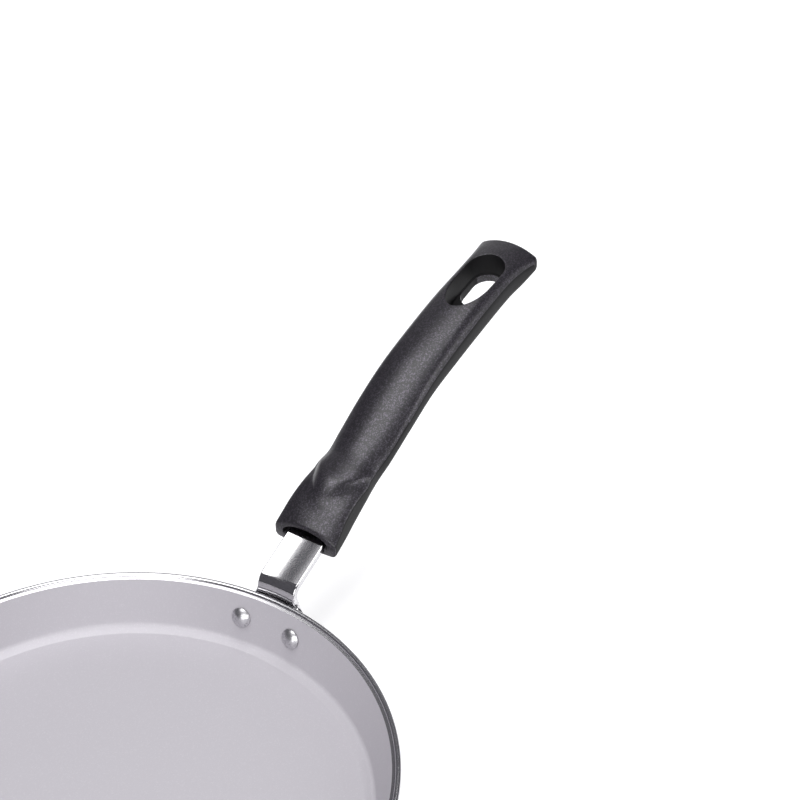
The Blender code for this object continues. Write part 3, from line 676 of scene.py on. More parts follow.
@dataclass
class Bracket:
    """Bent steel strip: a wide foot outside the wall, a bend over the rim, and a tang inside the grip."""

    pan: Pan
    thickness: float = 0.0032
    strip_width: float = 0.0192
    slope: float = math.radians(21.0)
    bend_radius: float = 0.0070
    bend_lift: float = 0.0034
    foot_width: float = 0.0392
    foot_bottom: float = 0.0075
    foot_top: float = 0.0225
    flare_radius: float = 0.0070
    corner_radius: float = 0.0050
    shoulder_radius: float = 0.0015
    edge_radius: float = 0.0006
    dish: float = 0.00022
    mouth_reach: float = 0.0238
    tang_width: float = 0.0150
    tang_length: float = 0.0400
    tang_shoulder: float = 0.0080
    corner_angles: range = range(0, 91, 9)
    flare_angles: range = range(4, 49, 4)
    edge_angles: tuple[float, ...] = (22.5, 45.0, 67.5, 90.0)
    end_angles: tuple[float, ...] = (0, 30, 60)
    foot_step: float = 0.0015
    lift_step: float = 0.0008
    strip_step: float = 0.0012
    bend_steps: int = 26
    half_steps: int = 20

    def wall_point(self, level: float) -> Flat:
        """Point of the face towards the pan at a height, the seat gap off the wall."""
        return self.pan.outer_radius(level) + SEAT_GAP / math.cos(self.pan.flare), level

    def bend_start(self) -> Flat:
        """Where the strip leaves the wall's slope and turns upright past the lip."""
        return self.wall_point(self.pan.height - self.pan.lip_radius)

    def bend_centre(self) -> Flat:
        """Centre of the bend over the rim."""
        radius, level = self.bend_start()
        return radius + self.bend_radius, level + self.bend_lift

    def mouth_x(self) -> float:
        """Distance of the grip's mouth from the pan's axis."""
        return self.pan.rim_radius + self.mouth_reach

    def top(self, x: float) -> float:
        """Height of the strip's top face at a distance from the pan's axis."""
        centre = self.bend_centre()
        start_x = centre[0] - self.bend_radius * math.sin(self.slope)
        start_z = centre[1] + self.bend_radius * math.cos(self.slope)
        return start_z + (x - start_x) * math.tan(self.slope)

    def half_width(self, level: float, x: float) -> float:
        """Half of the plate's width: foot with rounded corners, flare, strip and narrower tang.

        Args:
            level: Height above the table.
            x: Distance from the pan's axis.

        Returns:
            Half of the width there.
        """
        foot = self.foot_width / 2
        strip = self.strip_width / 2
        corner_end = self.foot_bottom + self.corner_radius
        if level < corner_end:
            return foot - round_drop(self.corner_radius, corner_end - level)
        if level < self.foot_top:
            over = max(level - (self.foot_top - self.shoulder_radius), 0.0)
            return foot - round_drop(self.shoulder_radius, over)
        if level < self.foot_top + self.flare_radius:
            return strip + round_drop(self.flare_radius, self.foot_top + self.flare_radius - level)
        blend = smooth_step((x - self.mouth_x()) / self.tang_shoulder)
        return strip + (self.tang_width / 2 - strip) * blend

    def path(self) -> list[Station]:
        """Stations along the face towards the pan: x, z and the direction of travel."""
        wall = math.pi / 2 - self.pan.flare
        shoulder = quarter(self.shoulder_radius, self.corner_angles)[1:]
        levels = [self.foot_bottom + gone for gone, _ in quarter(self.corner_radius, self.corner_angles)]
        levels += spread(levels[-1], self.foot_top - self.shoulder_radius, self.foot_step)
        levels += [self.foot_top - left for _, left in shoulder]
        levels += [self.foot_top + gone for gone, _ in quarter(self.flare_radius, self.flare_angles)]
        x, z = self.bend_start()
        limit = z - self.edge_radius / 3
        stations = [(*self.wall_point(level), wall) for level in levels if level < limit]
        stations.append((x, z, wall + self.pan.flare / 2))
        stations += [(x, level, math.pi / 2) for level in spread(z, z + self.bend_lift, self.lift_step)[:-1]]
        centre = self.bend_centre()
        for step in range(self.bend_steps + 1):
            heading = math.pi / 2 + (self.slope - math.pi / 2) * step / self.bend_steps
            x = centre[0] - self.bend_radius * math.sin(heading)
            stations.append((x, centre[1] + self.bend_radius * math.cos(heading), heading))
        mouth = self.mouth_x()
        for end in (mouth, mouth + self.tang_shoulder, mouth + self.tang_length):
            places = spread(stations[-1][0], end, self.strip_step)
            stations += [(x, self.top(x), self.slope) for x in places]
        return stations

    def section(self, station: Station, grow: float = 0.0, dished: bool = False) -> list[Vector]:
        """Ring round the plate at one station. The foot curves round the pan and the strip is flat across.

        Args:
            station: x, z and direction of travel.
            grow: Distance by which the ring stands off the plate, for a slot, or below 0 for a rounded end.
            dished: Whether the face is dished.

        Returns:
            The ring's points.
        """
        x, z, heading = station
        half_width = self.half_width(z, x)
        flat = half_width - self.edge_radius
        side_round = [(half_width - left, gone) for gone, left in quarter(self.edge_radius, self.edge_angles)]
        outline = []
        for index in range(-self.half_steps, self.half_steps + 1):
            y = flat * math.sin(math.pi / 2 * index / self.half_steps)
            outline.append((y, self.dish * (1.0 - (y / flat) ** 2) if dished else 0.0))
        outline += side_round
        edge_ring = outline + [(y, self.thickness - depth) for y, depth in reversed(side_round)]
        edge_ring += [(-y, self.thickness - depth) for y, depth in outline]
        edge_ring += [(-y, depth) for y, depth in reversed(side_round[:-1])]
        normal = Vector((-math.sin(heading), math.cos(heading)))
        start = self.bend_start()[1]
        hug = 1.0 if z < start else max(0.0, 1.0 - (z - start) / self.bend_radius)
        ring = []
        for y, depth in edge_ring:
            point = Vector((x, z)) + normal * (grow - depth * (1 + 2 * grow / self.thickness))
            side = y * (1 + grow / half_width)
            pulled = point.x - hug * (point.x - math.sqrt(point.x ** 2 - side ** 2))
            ring.append(Vector((pulled, side, point.y)))
        return ring

    def build(self, cutters: Sequence[bpy.types.Object]) -> bpy.types.Object:
        """Skin the plate, round its two ends and cut its holes."""
        stations = self.path()
        first, last = stations[0], stations[-1]
        ends = [inset for _, inset in quarter(self.edge_radius, self.end_angles)]
        rings = [self.section((*self.wall_point(first[1] - inset), first[2]), -inset) for inset in ends]
        rings += [self.section(station, dished=True) for station in stations]
        for inset in reversed(ends):
            x = last[0] + inset
            rings.append(self.section((x, self.top(x), last[2]), -inset, True))
        piece = skinned("bracket_strip", rings)
        bore(piece, cutters)
        return piece

    def screw_frame(self, from_mouth: float) -> Matrix:
        """Frame on the tang's lower face at the screw, with its Z axis square to the tang and pointing up."""
        x = self.mouth_x() + from_mouth
        down = Vector((math.sin(self.slope), 0.0, -math.cos(self.slope)))
        place = Vector((x, 0.0, self.top(x))) + down * self.thickness
        return Matrix.Translation(place) @ Matrix.Rotation(-self.slope, 4, "Y")

    def dress(self, piece: bpy.types.Object) -> None:
        """Give the plate its polish."""
        coat(piece, PolishedSteel())


@dataclass
class Rivet:
    """Solid aluminium rivet: a polished dome inside the pan, a shank, and a flat formed tail outside."""

    pan: Pan
    plate: float
    side: Side
    shank_diameter: float = 0.0050
    head_diameter: float = 0.0090
    head_rise: float = 0.0024
    tail_diameter: float = 0.0080
    tail_rise: float = 0.0016
    rim_share: float = 0.22
    rim_round: float = 0.45
    tail_round: float = 0.4
    dome_steps: int = 20
    rim_steps: int = 5
    tail_steps: int = 6
    segments: int = 72

    def reach(self) -> float:
        """Length of the shank through wall, bracket and gaps."""
        return self.pan.wall + self.plate + 2 * SEAT_GAP

    def hole(self) -> bpy.types.Object:
        """Cutter for the rivet's hole in wall and bracket."""
        low = -(self.reach() + SEAT_GAP + self.tail_rise)
        radius = self.shank_diameter / 2 + SHANK_GAP
        name = f"rivet_hole_{self.side.name.lower()}"
        return drill(name, radius, low, self.head_rise, self.pan.rivet_frame(self.side))

    def profile(self) -> list[Flat]:
        """Half section from the dome's top to the tail's end."""
        head = self.head_diameter / 2
        tail = self.tail_diameter / 2
        shank = self.shank_diameter / 2
        rim = self.head_rise * self.rim_share
        rise = self.head_rise - rim
        dome = arc_radius(head, rise)
        centre = (0.0, SEAT_GAP + self.head_rise - dome)
        edge = math.asin((SEAT_GAP + rim - centre[1]) / dome)
        points = arc(centre, dome, math.pi / 2, edge, self.dome_steps)
        points[0] = (0.0, SEAT_GAP + self.head_rise)
        soft = rim * self.rim_round
        points += arc((head - soft, SEAT_GAP + soft), soft, 0.0, -math.pi / 2, self.rim_steps)
        bottom = -self.reach()
        points += [(shank, SEAT_GAP), (shank, bottom), (tail, bottom)]
        soft = self.tail_rise * self.tail_round
        end = bottom - self.tail_rise
        points += arc((tail - soft, end + soft), soft, 0.0, -math.pi / 2, self.tail_steps)
        return points + [(0.0, end)]

    def build(self) -> bpy.types.Object:
        """Spin the rivet and set it into its hole."""
        shape = spun(self.profile(), self.segments)
        bmesh.ops.transform(shape, matrix=self.pan.rivet_frame(self.side), verts=shape.verts)
        return to_object(f"rivet_dome_{self.side.name.lower()}", shape)

    def dress(self, piece: bpy.types.Object) -> None:
        """Give the rivet its polish."""
        coat(piece, PolishedSteel(
            name=f"polished_aluminium_{self.side.name.lower()}", base="#cfced1", cloud="#a3a2a5",
            grain_mm=0.7, roughness=(0.29, 0.37), grain_depth_mm=0.016,
        ))


# Grip stations: place as a share of the length, then a value for each Column. The width is a share of the
# grip's, the shoulder's height over the strip's top face at the mouth a share of the rise, the depth from the
# shoulder to the underside a share of the grip's, and the last three are in metres.
GRIP_STATIONS = (
    (0.000, 1.145, 0.060, 0.700, 0.0022, 0.0059, 0.0022),
    (0.034, 1.101, 0.138, 0.900, 0.0022, 0.0059, 0.0022),
    (0.062, 1.068, 0.200, 1.048, 0.0024, 0.0059, 0.0022),
    (0.110, 1.034, 0.264, 1.165, 0.0052, 0.0059, 0.0022),
    (0.165, 1.018, 0.296, 1.155, 0.0092, 0.0059, 0.0023),
    (0.219, 0.952, 0.328, 0.948, 0.0074, 0.0058, 0.0025),
    (0.273, 0.993, 0.401, 0.930, 0.0076, 0.0056, 0.0029),
    (0.373, 1.018, 0.566, 0.945, 0.0072, 0.0052, 0.0039),
    (0.478, 1.003, 0.724, 1.030, 0.0070, 0.0047, 0.0051),
    (0.600, 0.995, 0.846, 1.150, 0.0068, 0.0042, 0.0065),
    (0.727, 0.986, 0.943, 1.225, 0.0068, 0.0039, 0.0072),
    (0.864, 0.970, 1.004, 1.135, 0.0058, 0.0039, 0.0072),
    (0.935, 1.020, 1.004, 0.925, 0.0040, 0.0041, 0.0056),
    (1.000, 1.118, 0.980, 0.430, 0.0012, 0.0046, 0.0024),
)


class Column(Enum):
    """What a column of the stations holds, with its number after the place."""

    HALF_WIDTH = 1
    SHOULDER = 2
    DEPTH = 3
    LOWER_CORNER = 4
    CROWN = 5
    SHOULDER_ROUND = 6


class Face(Enum):
    """The grip's two arched faces."""

    UPPER = 0
    LOWER = 1


@dataclass
class Grip:
    """Moulded grip: flat collar, thumb rest with a creased nose, arched spine and a stepped hang hole."""

    bracket: Bracket
    length: float = 0.1753
    width: float = 0.0282
    rise: float = 0.0520
    depth: float = 0.0120
    crown: float = 0.0059
    mouth_crown: float = 0.0035
    collar_crown: float = 0.0020
    collar_step: float = 0.0012
    collar_wall: float = 0.0022
    pocket_width: float = 0.0228
    pocket_narrowing: float = 0.0030
    pocket_depth: float = 0.0120
    pocket_height: float = 0.0066
    pocket_corner_sag: float = 0.0016
    pocket_corner_power: int = 6
    lead_in: float = 0.0005
    lead_in_depth: float = 0.0026
    lead_in_power: float = 1.5
    nose_tip: float = 0.0130
    nose_sweep: float = 0.0160
    nose_half_width: float = 0.0135
    nose_ramp: float = 0.0080
    nose_fade: float = 0.0450
    underside_sag: float = 0.0008
    tail_bow: float = 0.0005
    tail_corner_radius: float = 0.0026
    tail_zone: float = 0.0300
    mouth_round: float = 0.0006
    edge_round: float = 0.0020
    hole_from_tail: float = 0.0346
    hole_length: float = 0.0396
    hole_width: float = 0.0184
    hole_mouth_round: float = 0.0195
    hole_taper: float = 0.0007
    hole_ledge: float = 0.0005
    hole_shelf: float = 0.0126
    hole_land_depth: float = 0.0129
    hole_run_out: float = 0.0040
    lip_round: float = 0.0008
    ledge_round: float = 0.0003
    shelf_round: float = 0.0010
    screw_from_mouth: float = 0.0290
    screw_diameter: float = 0.0050
    screw_head_diameter: float = 0.0092
    screw_tip_rise: float = 0.0012
    seat_thickness: float = 0.0014
    bore_depth: float = 0.0200
    arch_steps: int = 22
    corner_steps: int = 7
    hole_steps: int = 24
    pocket_steps: int = 14
    skin_passes: int = 5
    end_angles: tuple[float, ...] = (0, 25, 50, 72)
    lip_angles: tuple[float, ...] = (85, 75, 60, 45, 30, 15, 0)
    shelf_angles: tuple[float, ...] = (0, 20, 40, 60, 75, 90)
    ledge_angles: tuple[float, ...] = (75, 50, 25, 0)
    collar_ring_step: float = 0.0006
    nose_ring_step: float = 0.0005
    ring_step: float = 0.0012
    slot_step: float = 0.0040
    lead_in_step: float = 0.0003
    pocket_step: float = 0.0015
    # Faces whose normal turns further than this towards Y count as flanks and get the painted shade
    flank_turn: float = 0.93
    curves: dict = field(default_factory=dict)

    def __post_init__(self) -> None:
        """Turn the stations into places, values and slopes, one curve for each column."""
        units = {Column.HALF_WIDTH: self.width / 2, Column.SHOULDER: self.rise, Column.DEPTH: self.depth}
        places = [row[0] * self.length for row in GRIP_STATIONS]
        for column in Column:
            values = [row[column.value] * units.get(column, 1.0) for row in GRIP_STATIONS]
            slopes = []
            for index in range(len(places)):
                low, high = max(index - 1, 0), min(index + 1, len(places) - 1)
                slopes.append((values[high] - values[low]) / (places[high] - places[low]))
            self.curves[column] = (places, values, slopes)

    def curve(self, column: Column, along: float) -> float:
        """Smooth curve through one column of the stations, at a distance from the mouth."""
        places, values, slopes = self.curves[column]
        index = 0
        while index < len(places) - 2 and along > places[index + 1]:
            index += 1
        span = places[index + 1] - places[index]
        share = (along - places[index]) / span
        climb = values[index + 1] - values[index]
        bend_in = slopes[index] * span - climb
        bend_out = climb - slopes[index + 1] * span
        bend = (1 - share) * bend_in + share * bend_out
        return values[index] + climb * share + share * (1 - share) * bend

    def collar_drop(self, place: float, across: float) -> float:
        """How far the collar lies under the thumb rest's dome.

        Args:
            place: The ring's place along the grip.
            across: Share of the half width, from the middle outwards.

        Returns:
            The drop in metres.
        """
        across = min(across, 1.0)
        crown = self.mouth_crown + (self.collar_crown - self.mouth_crown) * min(place / self.nose_tip, 1.0)
        crease = (1.0 - min(max((place - self.nose_tip) / self.nose_ramp, 0.0), 1.0)) ** 2
        fade = 1.0 - smooth_step((place - self.nose_tip / 2) / (self.nose_ramp + self.nose_tip / 2))
        share = fade + (crease - fade) * across * across
        middle = (self.crown - crown) * (1.0 - across * across)
        return share * (middle + self.collar_step * across * across)

    def swept(self, place: float, y: float) -> float:
        """Distance from the mouth of a ring's point. Rings bow like the nose, so the crease is a ring."""
        if place <= self.nose_tip:
            share = place / self.nose_tip
        else:
            share = max(1.0 - (place - self.nose_tip) / self.nose_fade, 0.0)
        return place + share * self.nose_sweep * min(abs(y) / self.nose_half_width, 1.0) ** 2

    def tail_pull(self, along: float) -> float:
        """Share by which the tail's setback acts at a distance from the mouth."""
        return min(max(1.0 - (self.length - along) / self.tail_zone, 0.0), 1.0) ** 2

    def setback(self, y: float, half: float) -> float:
        """How far the tail's end lies back at a distance y from its middle."""
        over = max(0.0, abs(y) - (half - self.tail_corner_radius))
        return self.tail_bow * (abs(y) / half) ** 2 + round_drop(self.tail_corner_radius, over)

    @staticmethod
    def arch_point(half: float, rise: float, corner: float, share: float) -> Flat:
        """Point on an arched face with a rounded shoulder.

        Args:
            half: Half of the width.
            rise: Height of the arch over its ends.
            corner: Radius of the shoulder.
            share: 0 at the crown, 1 where the arch ends and 2 on the flank.

        Returns:
            The point's distance from the middle and its height.
        """
        dome = arc_radius(half, rise)
        level = rise - dome
        corner_z = level + math.sqrt((dome - corner) ** 2 - (half - corner) ** 2)
        meet = math.atan2(half - corner, corner_z - level)
        if share <= 1.0:
            return dome * math.sin(meet * share), level + dome * math.cos(meet * share)
        angle = meet + (math.pi / 2 - meet) * (share - 1.0)
        return half - corner + corner * math.sin(angle), corner_z + corner * math.cos(angle)

    def surface_point(self, face: Face, place: float, along: float, share: float, inset: float) -> Flat:
        """Point of the grip's cross-section.

        Args:
            face: The upper or the lower face.
            place: The ring's place, which sets the collar and the nose.
            along: Distance from the mouth, which sets the sizes.
            share: 0 at the middle, 1 where the arch ends and 2 on the flank.
            inset: Distance by which the point lies inside the skin.

        Returns:
            The point's distance from the middle, and its height over the strip's top face at the mouth.
        """
        half, shoulder, depth, lower_corner, crown, corner = (self.curve(column, along) for column in Column)
        half -= inset
        if face is Face.UPPER:
            y, z = self.arch_point(half, crown - inset, corner, share)
            return y, shoulder + z - self.collar_drop(place, y / half)
        y, z = self.arch_point(half, self.underside_sag, lower_corner, share)
        return y, shoulder - depth + inset + self.underside_sag - z

    def origin(self) -> Flat:
        """The mouth's distance from the pan's axis, and the height of the strip's top face there."""
        mouth = self.bracket.mouth_x()
        return mouth, self.bracket.top(mouth)

    def half_ring(self, face: Face, place: float, inset: float) -> list[Vector]:
        """Points of one face from the middle to the flank on the +Y side."""
        shares = [step / self.arch_steps for step in range(self.arch_steps)]
        shares += [1.0 + step / self.corner_steps for step in range(self.corner_steps + 1)]
        origin_x, origin_z = self.origin()
        half = self.curve(Column.HALF_WIDTH, place)
        points = []
        for share in shares:
            y, _ = self.surface_point(face, place, place, share, inset)
            along = self.swept(place, y)
            y, z = self.surface_point(face, place, along, share, inset)
            x = origin_x + along - self.tail_pull(place) * self.setback(y, half)
            points.append(Vector((x, y, origin_z + z)))
        return points

    def ring(self, place: float, inset: float = 0.0) -> list[Vector]:
        """Ring round the grip, from the right flank over the crown and back along the underside."""
        upper = self.half_ring(Face.UPPER, place, inset)
        lower = self.half_ring(Face.LOWER, place, inset)
        mirror = Vector((1.0, -1.0, 1.0))
        right_upper = [point * mirror for point in reversed(upper[1:])]
        right_lower = [point * mirror for point in lower[1:]]
        return right_upper + upper + lower[::-1] + right_lower

    def loft(self) -> bmesh.types.BMesh:
        """Skin the grip, with rounded edges at the mouth and the tail and both ends bridged."""
        rings = [self.ring(place, inset) for place, inset in quarter(self.mouth_round, self.end_angles)]
        places = [self.mouth_round]
        places += spread(self.mouth_round, self.nose_tip, self.collar_ring_step)
        places += spread(self.nose_tip, self.nose_tip + self.nose_ramp, self.nose_ring_step)
        places += spread(places[-1], self.length - self.edge_round, self.ring_step)
        rings += [self.ring(place) for place in places]
        for back, inset in reversed(quarter(self.edge_round, self.end_angles)):
            rings.append(self.ring(self.length - back, inset))
        shape = tube(rings)
        count = 2 * (self.arch_steps + self.corner_steps) + 1
        for ring in (rings[0], rings[-1]):
            self.bridge_end(shape, ring, count)
        return shape

    @staticmethod
    def bridge_end(shape: bmesh.types.BMesh, ring: Sequence[Vector], count: int) -> None:
        """Close one end with strips from its upper to its lower edge.

        Args:
            shape: The open shape.
            ring: The end's ring, upper face first.
            count: Number of points on each face.
        """
        near = {point_key(point): index for index, point in enumerate(ring)}
        found: dict[int, bmesh.types.BMVert] = {}
        for edge in open_edges(shape):
            for vert in edge.verts:
                index = near.get(point_key(vert.co))
                if index is not None:
                    found[index] = vert
        chains = []
        for start in (0, count):
            verts = [found[index] for index in range(start, start + count)]
            chains += [shape.edges.get(pair) for pair in zip(verts, verts[1:])]
        bmesh.ops.bridge_loops(shape, edges=chains)

    def hole_frame(self) -> Matrix:
        """Frame at the hang hole's middle, on the crown and square to the grip there."""
        along = self.length - self.hole_from_tail
        reach = self.hole_width / 2
        climb = self.curve(Column.SHOULDER, along + reach) - self.curve(Column.SHOULDER, along - reach)
        mouth, level = self.origin()
        level += self.curve(Column.SHOULDER, along) + self.curve(Column.CROWN, along)
        place = Matrix.Translation((mouth + along, 0.0, level))
        return place @ Matrix.Rotation(-math.atan2(climb, 2 * reach), 4, "Y")

    def skin_height(self, along: float, y: float) -> float:
        """Height of the top skin, behind the thumb rest, above the strip's top face at the mouth."""
        half, shoulder, _, _, crown, corner = (self.curve(column, along) for column in Column)
        dome = arc_radius(half, crown)
        if abs(y) <= dome * (half - corner) / (dome - corner):
            return shoulder + crown - round_drop(dome, y)
        corner_z = crown - dome + math.sqrt((dome - corner) ** 2 - (half - corner) ** 2)
        return shoulder + corner_z + corner - round_drop(corner, abs(y) - half + corner)

    def skin_depth(self, place: Matrix, u: float, v: float) -> float:
        """Height of the top skin over the plane of the hole's frame, at u along the hole and v across it."""
        mouth, level = self.origin()
        depth = 0.0
        for _ in range(self.skin_passes):
            point = place @ Vector((u, v, depth))
            depth += level + self.skin_height(point.x - mouth, v) - point.z
        return depth

    def hole_outline(self, length: float, width: float, mouth_round: float, shift: float = 0.0) -> list[Flat]:
        """Outline of the hang hole: a half circle towards the tail and a half ellipse towards the mouth.

        Args:
            length: Overall length.
            width: Overall width.
            mouth_round: Length of the half ellipse.
            shift: Distance of its middle from the hole's, towards the tail.

        Returns:
            The outline's points.
        """
        radius = width / 2
        points = []
        for end, long_radius in ((1, radius), (-1, mouth_round)):
            reach = length / 2 - long_radius
            for step in range(self.hole_steps + 1):
                angle = math.pi * (step / self.hole_steps - 0.5)
                x = shift + end * (reach + long_radius * math.cos(angle))
                points.append((x, end * radius * math.sin(angle)))
        return points

    def hole_pocket(self) -> bpy.types.Object:
        """Cutter for the tapered pocket, with a rounded lip that follows the grip's skin."""
        place = self.hole_frame()
        taper = self.hole_taper / self.hole_land_depth
        steps = [(self.lip_round, self.hole_run_out)]
        steps += [(gone, -left) for gone, left in quarter(self.lip_round, self.lip_angles)]
        rings = []
        for offset, lift in steps:
            length, width = self.hole_length + 2 * offset, self.hole_width + 2 * offset
            ring = []
            for u, v in self.hole_outline(length, width, self.hole_mouth_round + offset):
                depth = self.skin_depth(place, u, v)
                inset = 2 * taper * min(depth, 0.0)
                ring.append(place @ Vector((u * (1 + inset / length), v * (1 + inset / width), depth + lift)))
            rings.append(ring)
        for gone, left in quarter(self.shelf_round, self.shelf_angles):
            inset = self.hole_taper + gone
            length, width = self.hole_length - 2 * inset, self.hole_width - 2 * inset
            outline = self.hole_outline(length, width, self.hole_mouth_round - inset)
            rings.append([place @ Vector((u, v, left - self.hole_land_depth)) for u, v in outline])
        return skinned("hole_pocket", rings)

    def hole_through(self) -> bpy.types.Object:
        """Cutter for the straight hole on through, which leaves a shelf towards the mouth."""
        place = self.hole_frame()
        length = self.hole_length - 2 * (self.hole_taper + self.hole_ledge) - self.hole_shelf
        width = self.hole_width - 2 * (self.hole_taper + self.hole_ledge)
        along = self.length - self.hole_from_tail
        below = self.curve(Column.CROWN, along) + self.curve(Column.DEPTH, along) + self.hole_run_out
        steps = [(self.ledge_round, CUT_OVERLAP - self.hole_land_depth)]
        for gone, left in quarter(self.ledge_round, self.ledge_angles):
            steps.append((gone, -self.hole_land_depth - left))
        steps.append((0.0, -below))
        rings = []
        for offset, level in steps:
            wide = width + 2 * offset
            outline = self.hole_outline(length + 2 * offset, wide, wide / 2, self.hole_shelf / 2)
            rings.append([place @ Vector((u, v, level)) for u, v in outline])
        return skinned("hole_through", rings)

    def tang_slot(self) -> bpy.types.Object:
        """Cutter for the strip's and the tang's room inside the grip."""
        bracket = self.bracket
        mouth = bracket.mouth_x()
        places = [mouth - bracket.strip_width / 4, mouth]
        places += spread(mouth, mouth + bracket.tang_shoulder, bracket.strip_step)
        places += spread(places[-1], mouth + bracket.tang_length + SEAT_GAP, self.slot_step)
        rings = [bracket.section((x, bracket.top(x), bracket.slope), SEAT_GAP) for x in places]
        return skinned("tang_slot", rings)

    def mouth_pocket(self) -> bpy.types.Object:
        """Cutter for the open pocket over the strip, under a top wall that follows the collar's crown."""
        mouth, mouth_top = self.origin()
        places = [-self.pocket_depth / 4, 0.0, *spread(0.0, self.lead_in_depth, self.lead_in_step)]
        places += spread(self.lead_in_depth, self.pocket_depth, self.pocket_step)
        rings = []
        for place in places:
            x = mouth + place
            along = max(place, 0.0)
            top = self.bracket.top(x)
            low = top - self.bracket.thickness / 2
            shoulder = mouth_top + self.curve(Column.SHOULDER, along)
            flare = self.lead_in * max(1.0 - along / self.lead_in_depth, 0.0) ** self.lead_in_power
            half = (self.pocket_width - self.pocket_narrowing * along / self.pocket_depth) / 2 + flare
            full = self.curve(Column.HALF_WIDTH, along)
            ring = []
            for index in range(-self.pocket_steps, self.pocket_steps + 1):
                part = index / self.pocket_steps
                across = half * abs(part) / full
                dome = self.crown * (1.0 - across * across) - self.collar_drop(0.0, across)
                sink = self.collar_wall + self.pocket_corner_sag * part ** self.pocket_corner_power
                level = min(shoulder + dome - sink, top + self.pocket_height) + flare
                ring.append(Vector((x, half * part, level)))
            rings.append(ring + [Vector((x, half, low)), Vector((x, -half, low))])
        return skinned("mouth_pocket", rings)

    def screw_hole(self) -> bpy.types.Object:
        """Cutter for the screw's clearance hole in the grip and the tang."""
        low = -(SEAT_GAP + self.seat_thickness + CUT_OVERLAP)
        top = self.bracket.thickness + self.screw_tip_rise + HEAD_GAP
        place = self.bracket.screw_frame(self.screw_from_mouth)
        return drill("screw_hole", self.screw_diameter / 2 + SHANK_GAP, low, top, place)

    def screw_bore(self) -> bpy.types.Object:
        """Cutter for the counterbore that takes the screw's head."""
        seat = -(SEAT_GAP + self.seat_thickness)
        place = self.bracket.screw_frame(self.screw_from_mouth)
        return drill("screw_bore", self.screw_head_diameter / 2 + HEAD_GAP, -self.bore_depth, seat, place)

    def build(self) -> bpy.types.Object:
        """Skin the grip and cut its hang hole, mouth, slot and screw seat."""
        piece = to_object("grip_moulding", self.loft())
        bore(piece, [
            self.hole_pocket(), self.hole_through(), self.tang_slot(), self.mouth_pocket(),
            self.screw_hole(), self.screw_bore(),
        ])
        return piece

    def in_pocket(self, point: Vector) -> bool:
        """Whether a point lies on the hang hole's wide upper part or its shelf."""
        local = self.hole_frame().inverted() @ point
        if local.z < -self.hole_land_depth - self.ledge_round / 2:
            return False
        radius = self.hole_width / 2
        long_radius = radius if local.x > 0 else self.hole_mouth_round
        over = max(abs(local.x) - (self.hole_length / 2 - long_radius), 0.0)
        return math.hypot(over / long_radius, local.y / radius) < 1.0

    def dress(self, piece: bpy.types.Object) -> None:
        """Give the grip its moulded finish, and paint shade on the hang hole's upper part and the flanks with a
        darker skin.
        """
        coat(piece, SpeckledPhenolic(), PaintedShadeSkin())
        for face in piece.data.polygons:
            # Painted shade: faces in the hang hole's upper part and on the steep flanks take the darker skin
            face.material_index = int(self.in_pocket(face.center) or abs(face.normal.y) > self.flank_turn)


@dataclass(frozen=True)
class Softbox:
    """Rectangular studio lamp that faces the object. Its half width and half height are angles in degrees."""

    name: str
    towards: tuple[float, float, float]
    across: tuple[float, float, float]
    half_width: float
    half_height: float
    radiance: float
    distance: float = 1.6
    target: tuple[float, float, float] = (0.12, 0.0, 0.03)

    def build(self) -> None:
        """Hang the lamp. Its power follows from its radiance and its area."""
        light = bpy.data.lights.new(self.name, "AREA")
        light.shape = "RECTANGLE"
        light.size = 2 * self.distance * math.tan(math.radians(self.half_width))
        light.size_y = 2 * self.distance * math.tan(math.radians(self.half_height))
        light.energy = math.pi * light.size * light.size_y * self.radiance
        lamp = bpy.data.objects.new(self.name, light)
        back = Vector(self.towards).normalized()
        up = back.cross(Vector(self.across)).normalized()
        turn = Matrix((up.cross(back), up, back)).transposed()
        place = Vector(self.target) + back * self.distance
        lamp.matrix_world = Matrix.Translation(place) @ turn.to_4x4()
        bpy.context.scene.collection.objects.link(lamp)


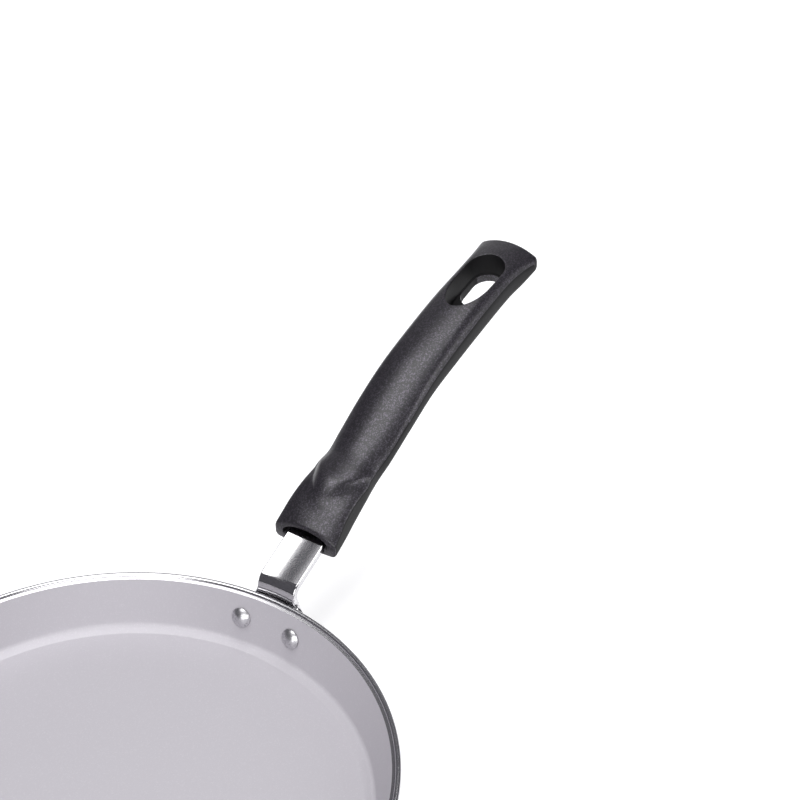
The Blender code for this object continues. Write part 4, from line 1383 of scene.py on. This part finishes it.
@dataclass
class Studio:
    """White floor, softboxes, a dim surround and the camera."""

    floor_half: float = 12.0
    surround: str = "#5c5b60"
    surround_strength: float = 1.0
    camera_place: tuple[float, float, float] = (-0.43065, -0.44595, 0.66819)
    camera_right: tuple[float, float, float] = (0.54585, -0.83737, -0.02934)
    camera_up: tuple[float, float, float] = (0.51996, 0.31107, 0.79554)
    focal_length_mm: float = 99.0
    sensor_mm: float = 36.0
    boxes: tuple[Softbox, ...] = (
        Softbox("top_softbox", (-0.07, 0.13, 0.99), (1.0, 0.0, 0.0), 24.0, 19.4, 3.9),
        Softbox("top_wing", (0.45, 0.01, 0.89), (1.0, 0.0, 0.0), 9.0, 9.0, 3.2),
        Softbox("left_panel", (0.00, 0.56, 0.83), (1.0, 0.0, 0.0), 6.0, 2.6, 0.7),
        Softbox("right_strip", (0.32, -0.828, 0.461), (0.692, -0.135, -0.709), 22.0, 10.0, 3.2),
        Softbox("front_fill", (-0.77, -0.44, 0.42), (0.0, 1.0, 0.0), 26.0, 16.0, 3.2),
        Softbox("front_glow", (-0.978, -0.19, 0.095), (0.0, 1.0, 0.0), 9.0, 5.0, 4.0),
        Softbox("back_panel", (0.76, 0.50, 0.35), (-0.5, 0.76, 0.0), 20.0, 13.0, 0.5),
    )

    def build_floor(self) -> None:
        """Lay the floor under the pan."""
        shape = bmesh.new()
        bmesh.ops.create_grid(shape, x_segments=1, y_segments=1, size=self.floor_half)
        mesh = bpy.data.meshes.new("floor")
        shape.to_mesh(mesh)
        shape.free()
        floor = bpy.data.objects.new("floor", mesh)
        bpy.context.scene.collection.objects.link(floor)
        mesh.materials.append(StudioPaper().build())

    def build_surround(self) -> None:
        """Fill the room with dim, even light."""
        world = bpy.data.worlds.new("surround")
        world.use_nodes = True
        background = world.node_tree.nodes["Background"]
        background.inputs["Color"].default_value = colour(self.surround)
        background.inputs["Strength"].default_value = self.surround_strength
        bpy.context.scene.world = world

    def build_camera(self) -> None:
        """Set the camera where it stood for the photograph."""
        lens = bpy.data.cameras.new("camera")
        lens.lens = self.focal_length_mm
        lens.sensor_width = self.sensor_mm
        camera = bpy.data.objects.new("camera", lens)
        right = Vector(self.camera_right).normalized()
        up = Vector(self.camera_up)
        back = right.cross(up).normalized()
        up = back.cross(right)
        turn = Matrix((right, up, back)).transposed()
        camera.matrix_world = Matrix.Translation(self.camera_place) @ turn.to_4x4()
        bpy.context.scene.collection.objects.link(camera)
        bpy.context.scene.camera = camera

    def build(self) -> None:
        """Set up floor, lamps, surround and camera."""
        self.build_floor()
        for box in self.boxes:
            box.build()
        self.build_surround()
        self.build_camera()
        bpy.context.scene.view_settings.view_transform = "Standard"


def hand_over(piece: bpy.types.Object, node: str) -> None:
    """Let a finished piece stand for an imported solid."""
    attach(piece, "root")
    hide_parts(node)
    LOG.info("%s stands for %s, %d faces", piece.name, node, len(piece.data.polygons))


def dress_fasteners() -> None:
    """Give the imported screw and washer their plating."""
    plating = ZincPlate().build()
    for name in ("handle_screw", "lock_washer"):
        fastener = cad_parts[name]
        fastener.data.materials.clear()
        fastener.data.materials.append(plating)
        LOG.info("%s keeps its solid, %d faces", name, len(fastener.data.polygons))


def main() -> None:
    """Build and dress each sub-assembly, then the studio."""
    logging.basicConfig(level=logging.INFO, format="%(name)s: %(message)s")
    pan = Pan()
    bracket = Bracket(pan)
    grip = Grip(bracket)
    rivets = [Rivet(pan, bracket.thickness, side) for side in Side]

    shell = pan.build([rivet.hole() for rivet in rivets])
    pan.dress(shell)
    hand_over(shell, "pan_body")

    strip = bracket.build([rivet.hole() for rivet in rivets] + [grip.screw_hole()])
    bracket.dress(strip)
    hand_over(strip, "handle_bracket")

    for rivet in rivets:
        dome = rivet.build()
        rivet.dress(dome)
        hand_over(dome, f"rivet_{rivet.side.name.lower()}")

    moulding = grip.build()
    grip.dress(moulding)
    hand_over(moulding, "handle_grip")

    dress_fasteners()
    Studio().build()


if __name__ == "__main__":
    main()
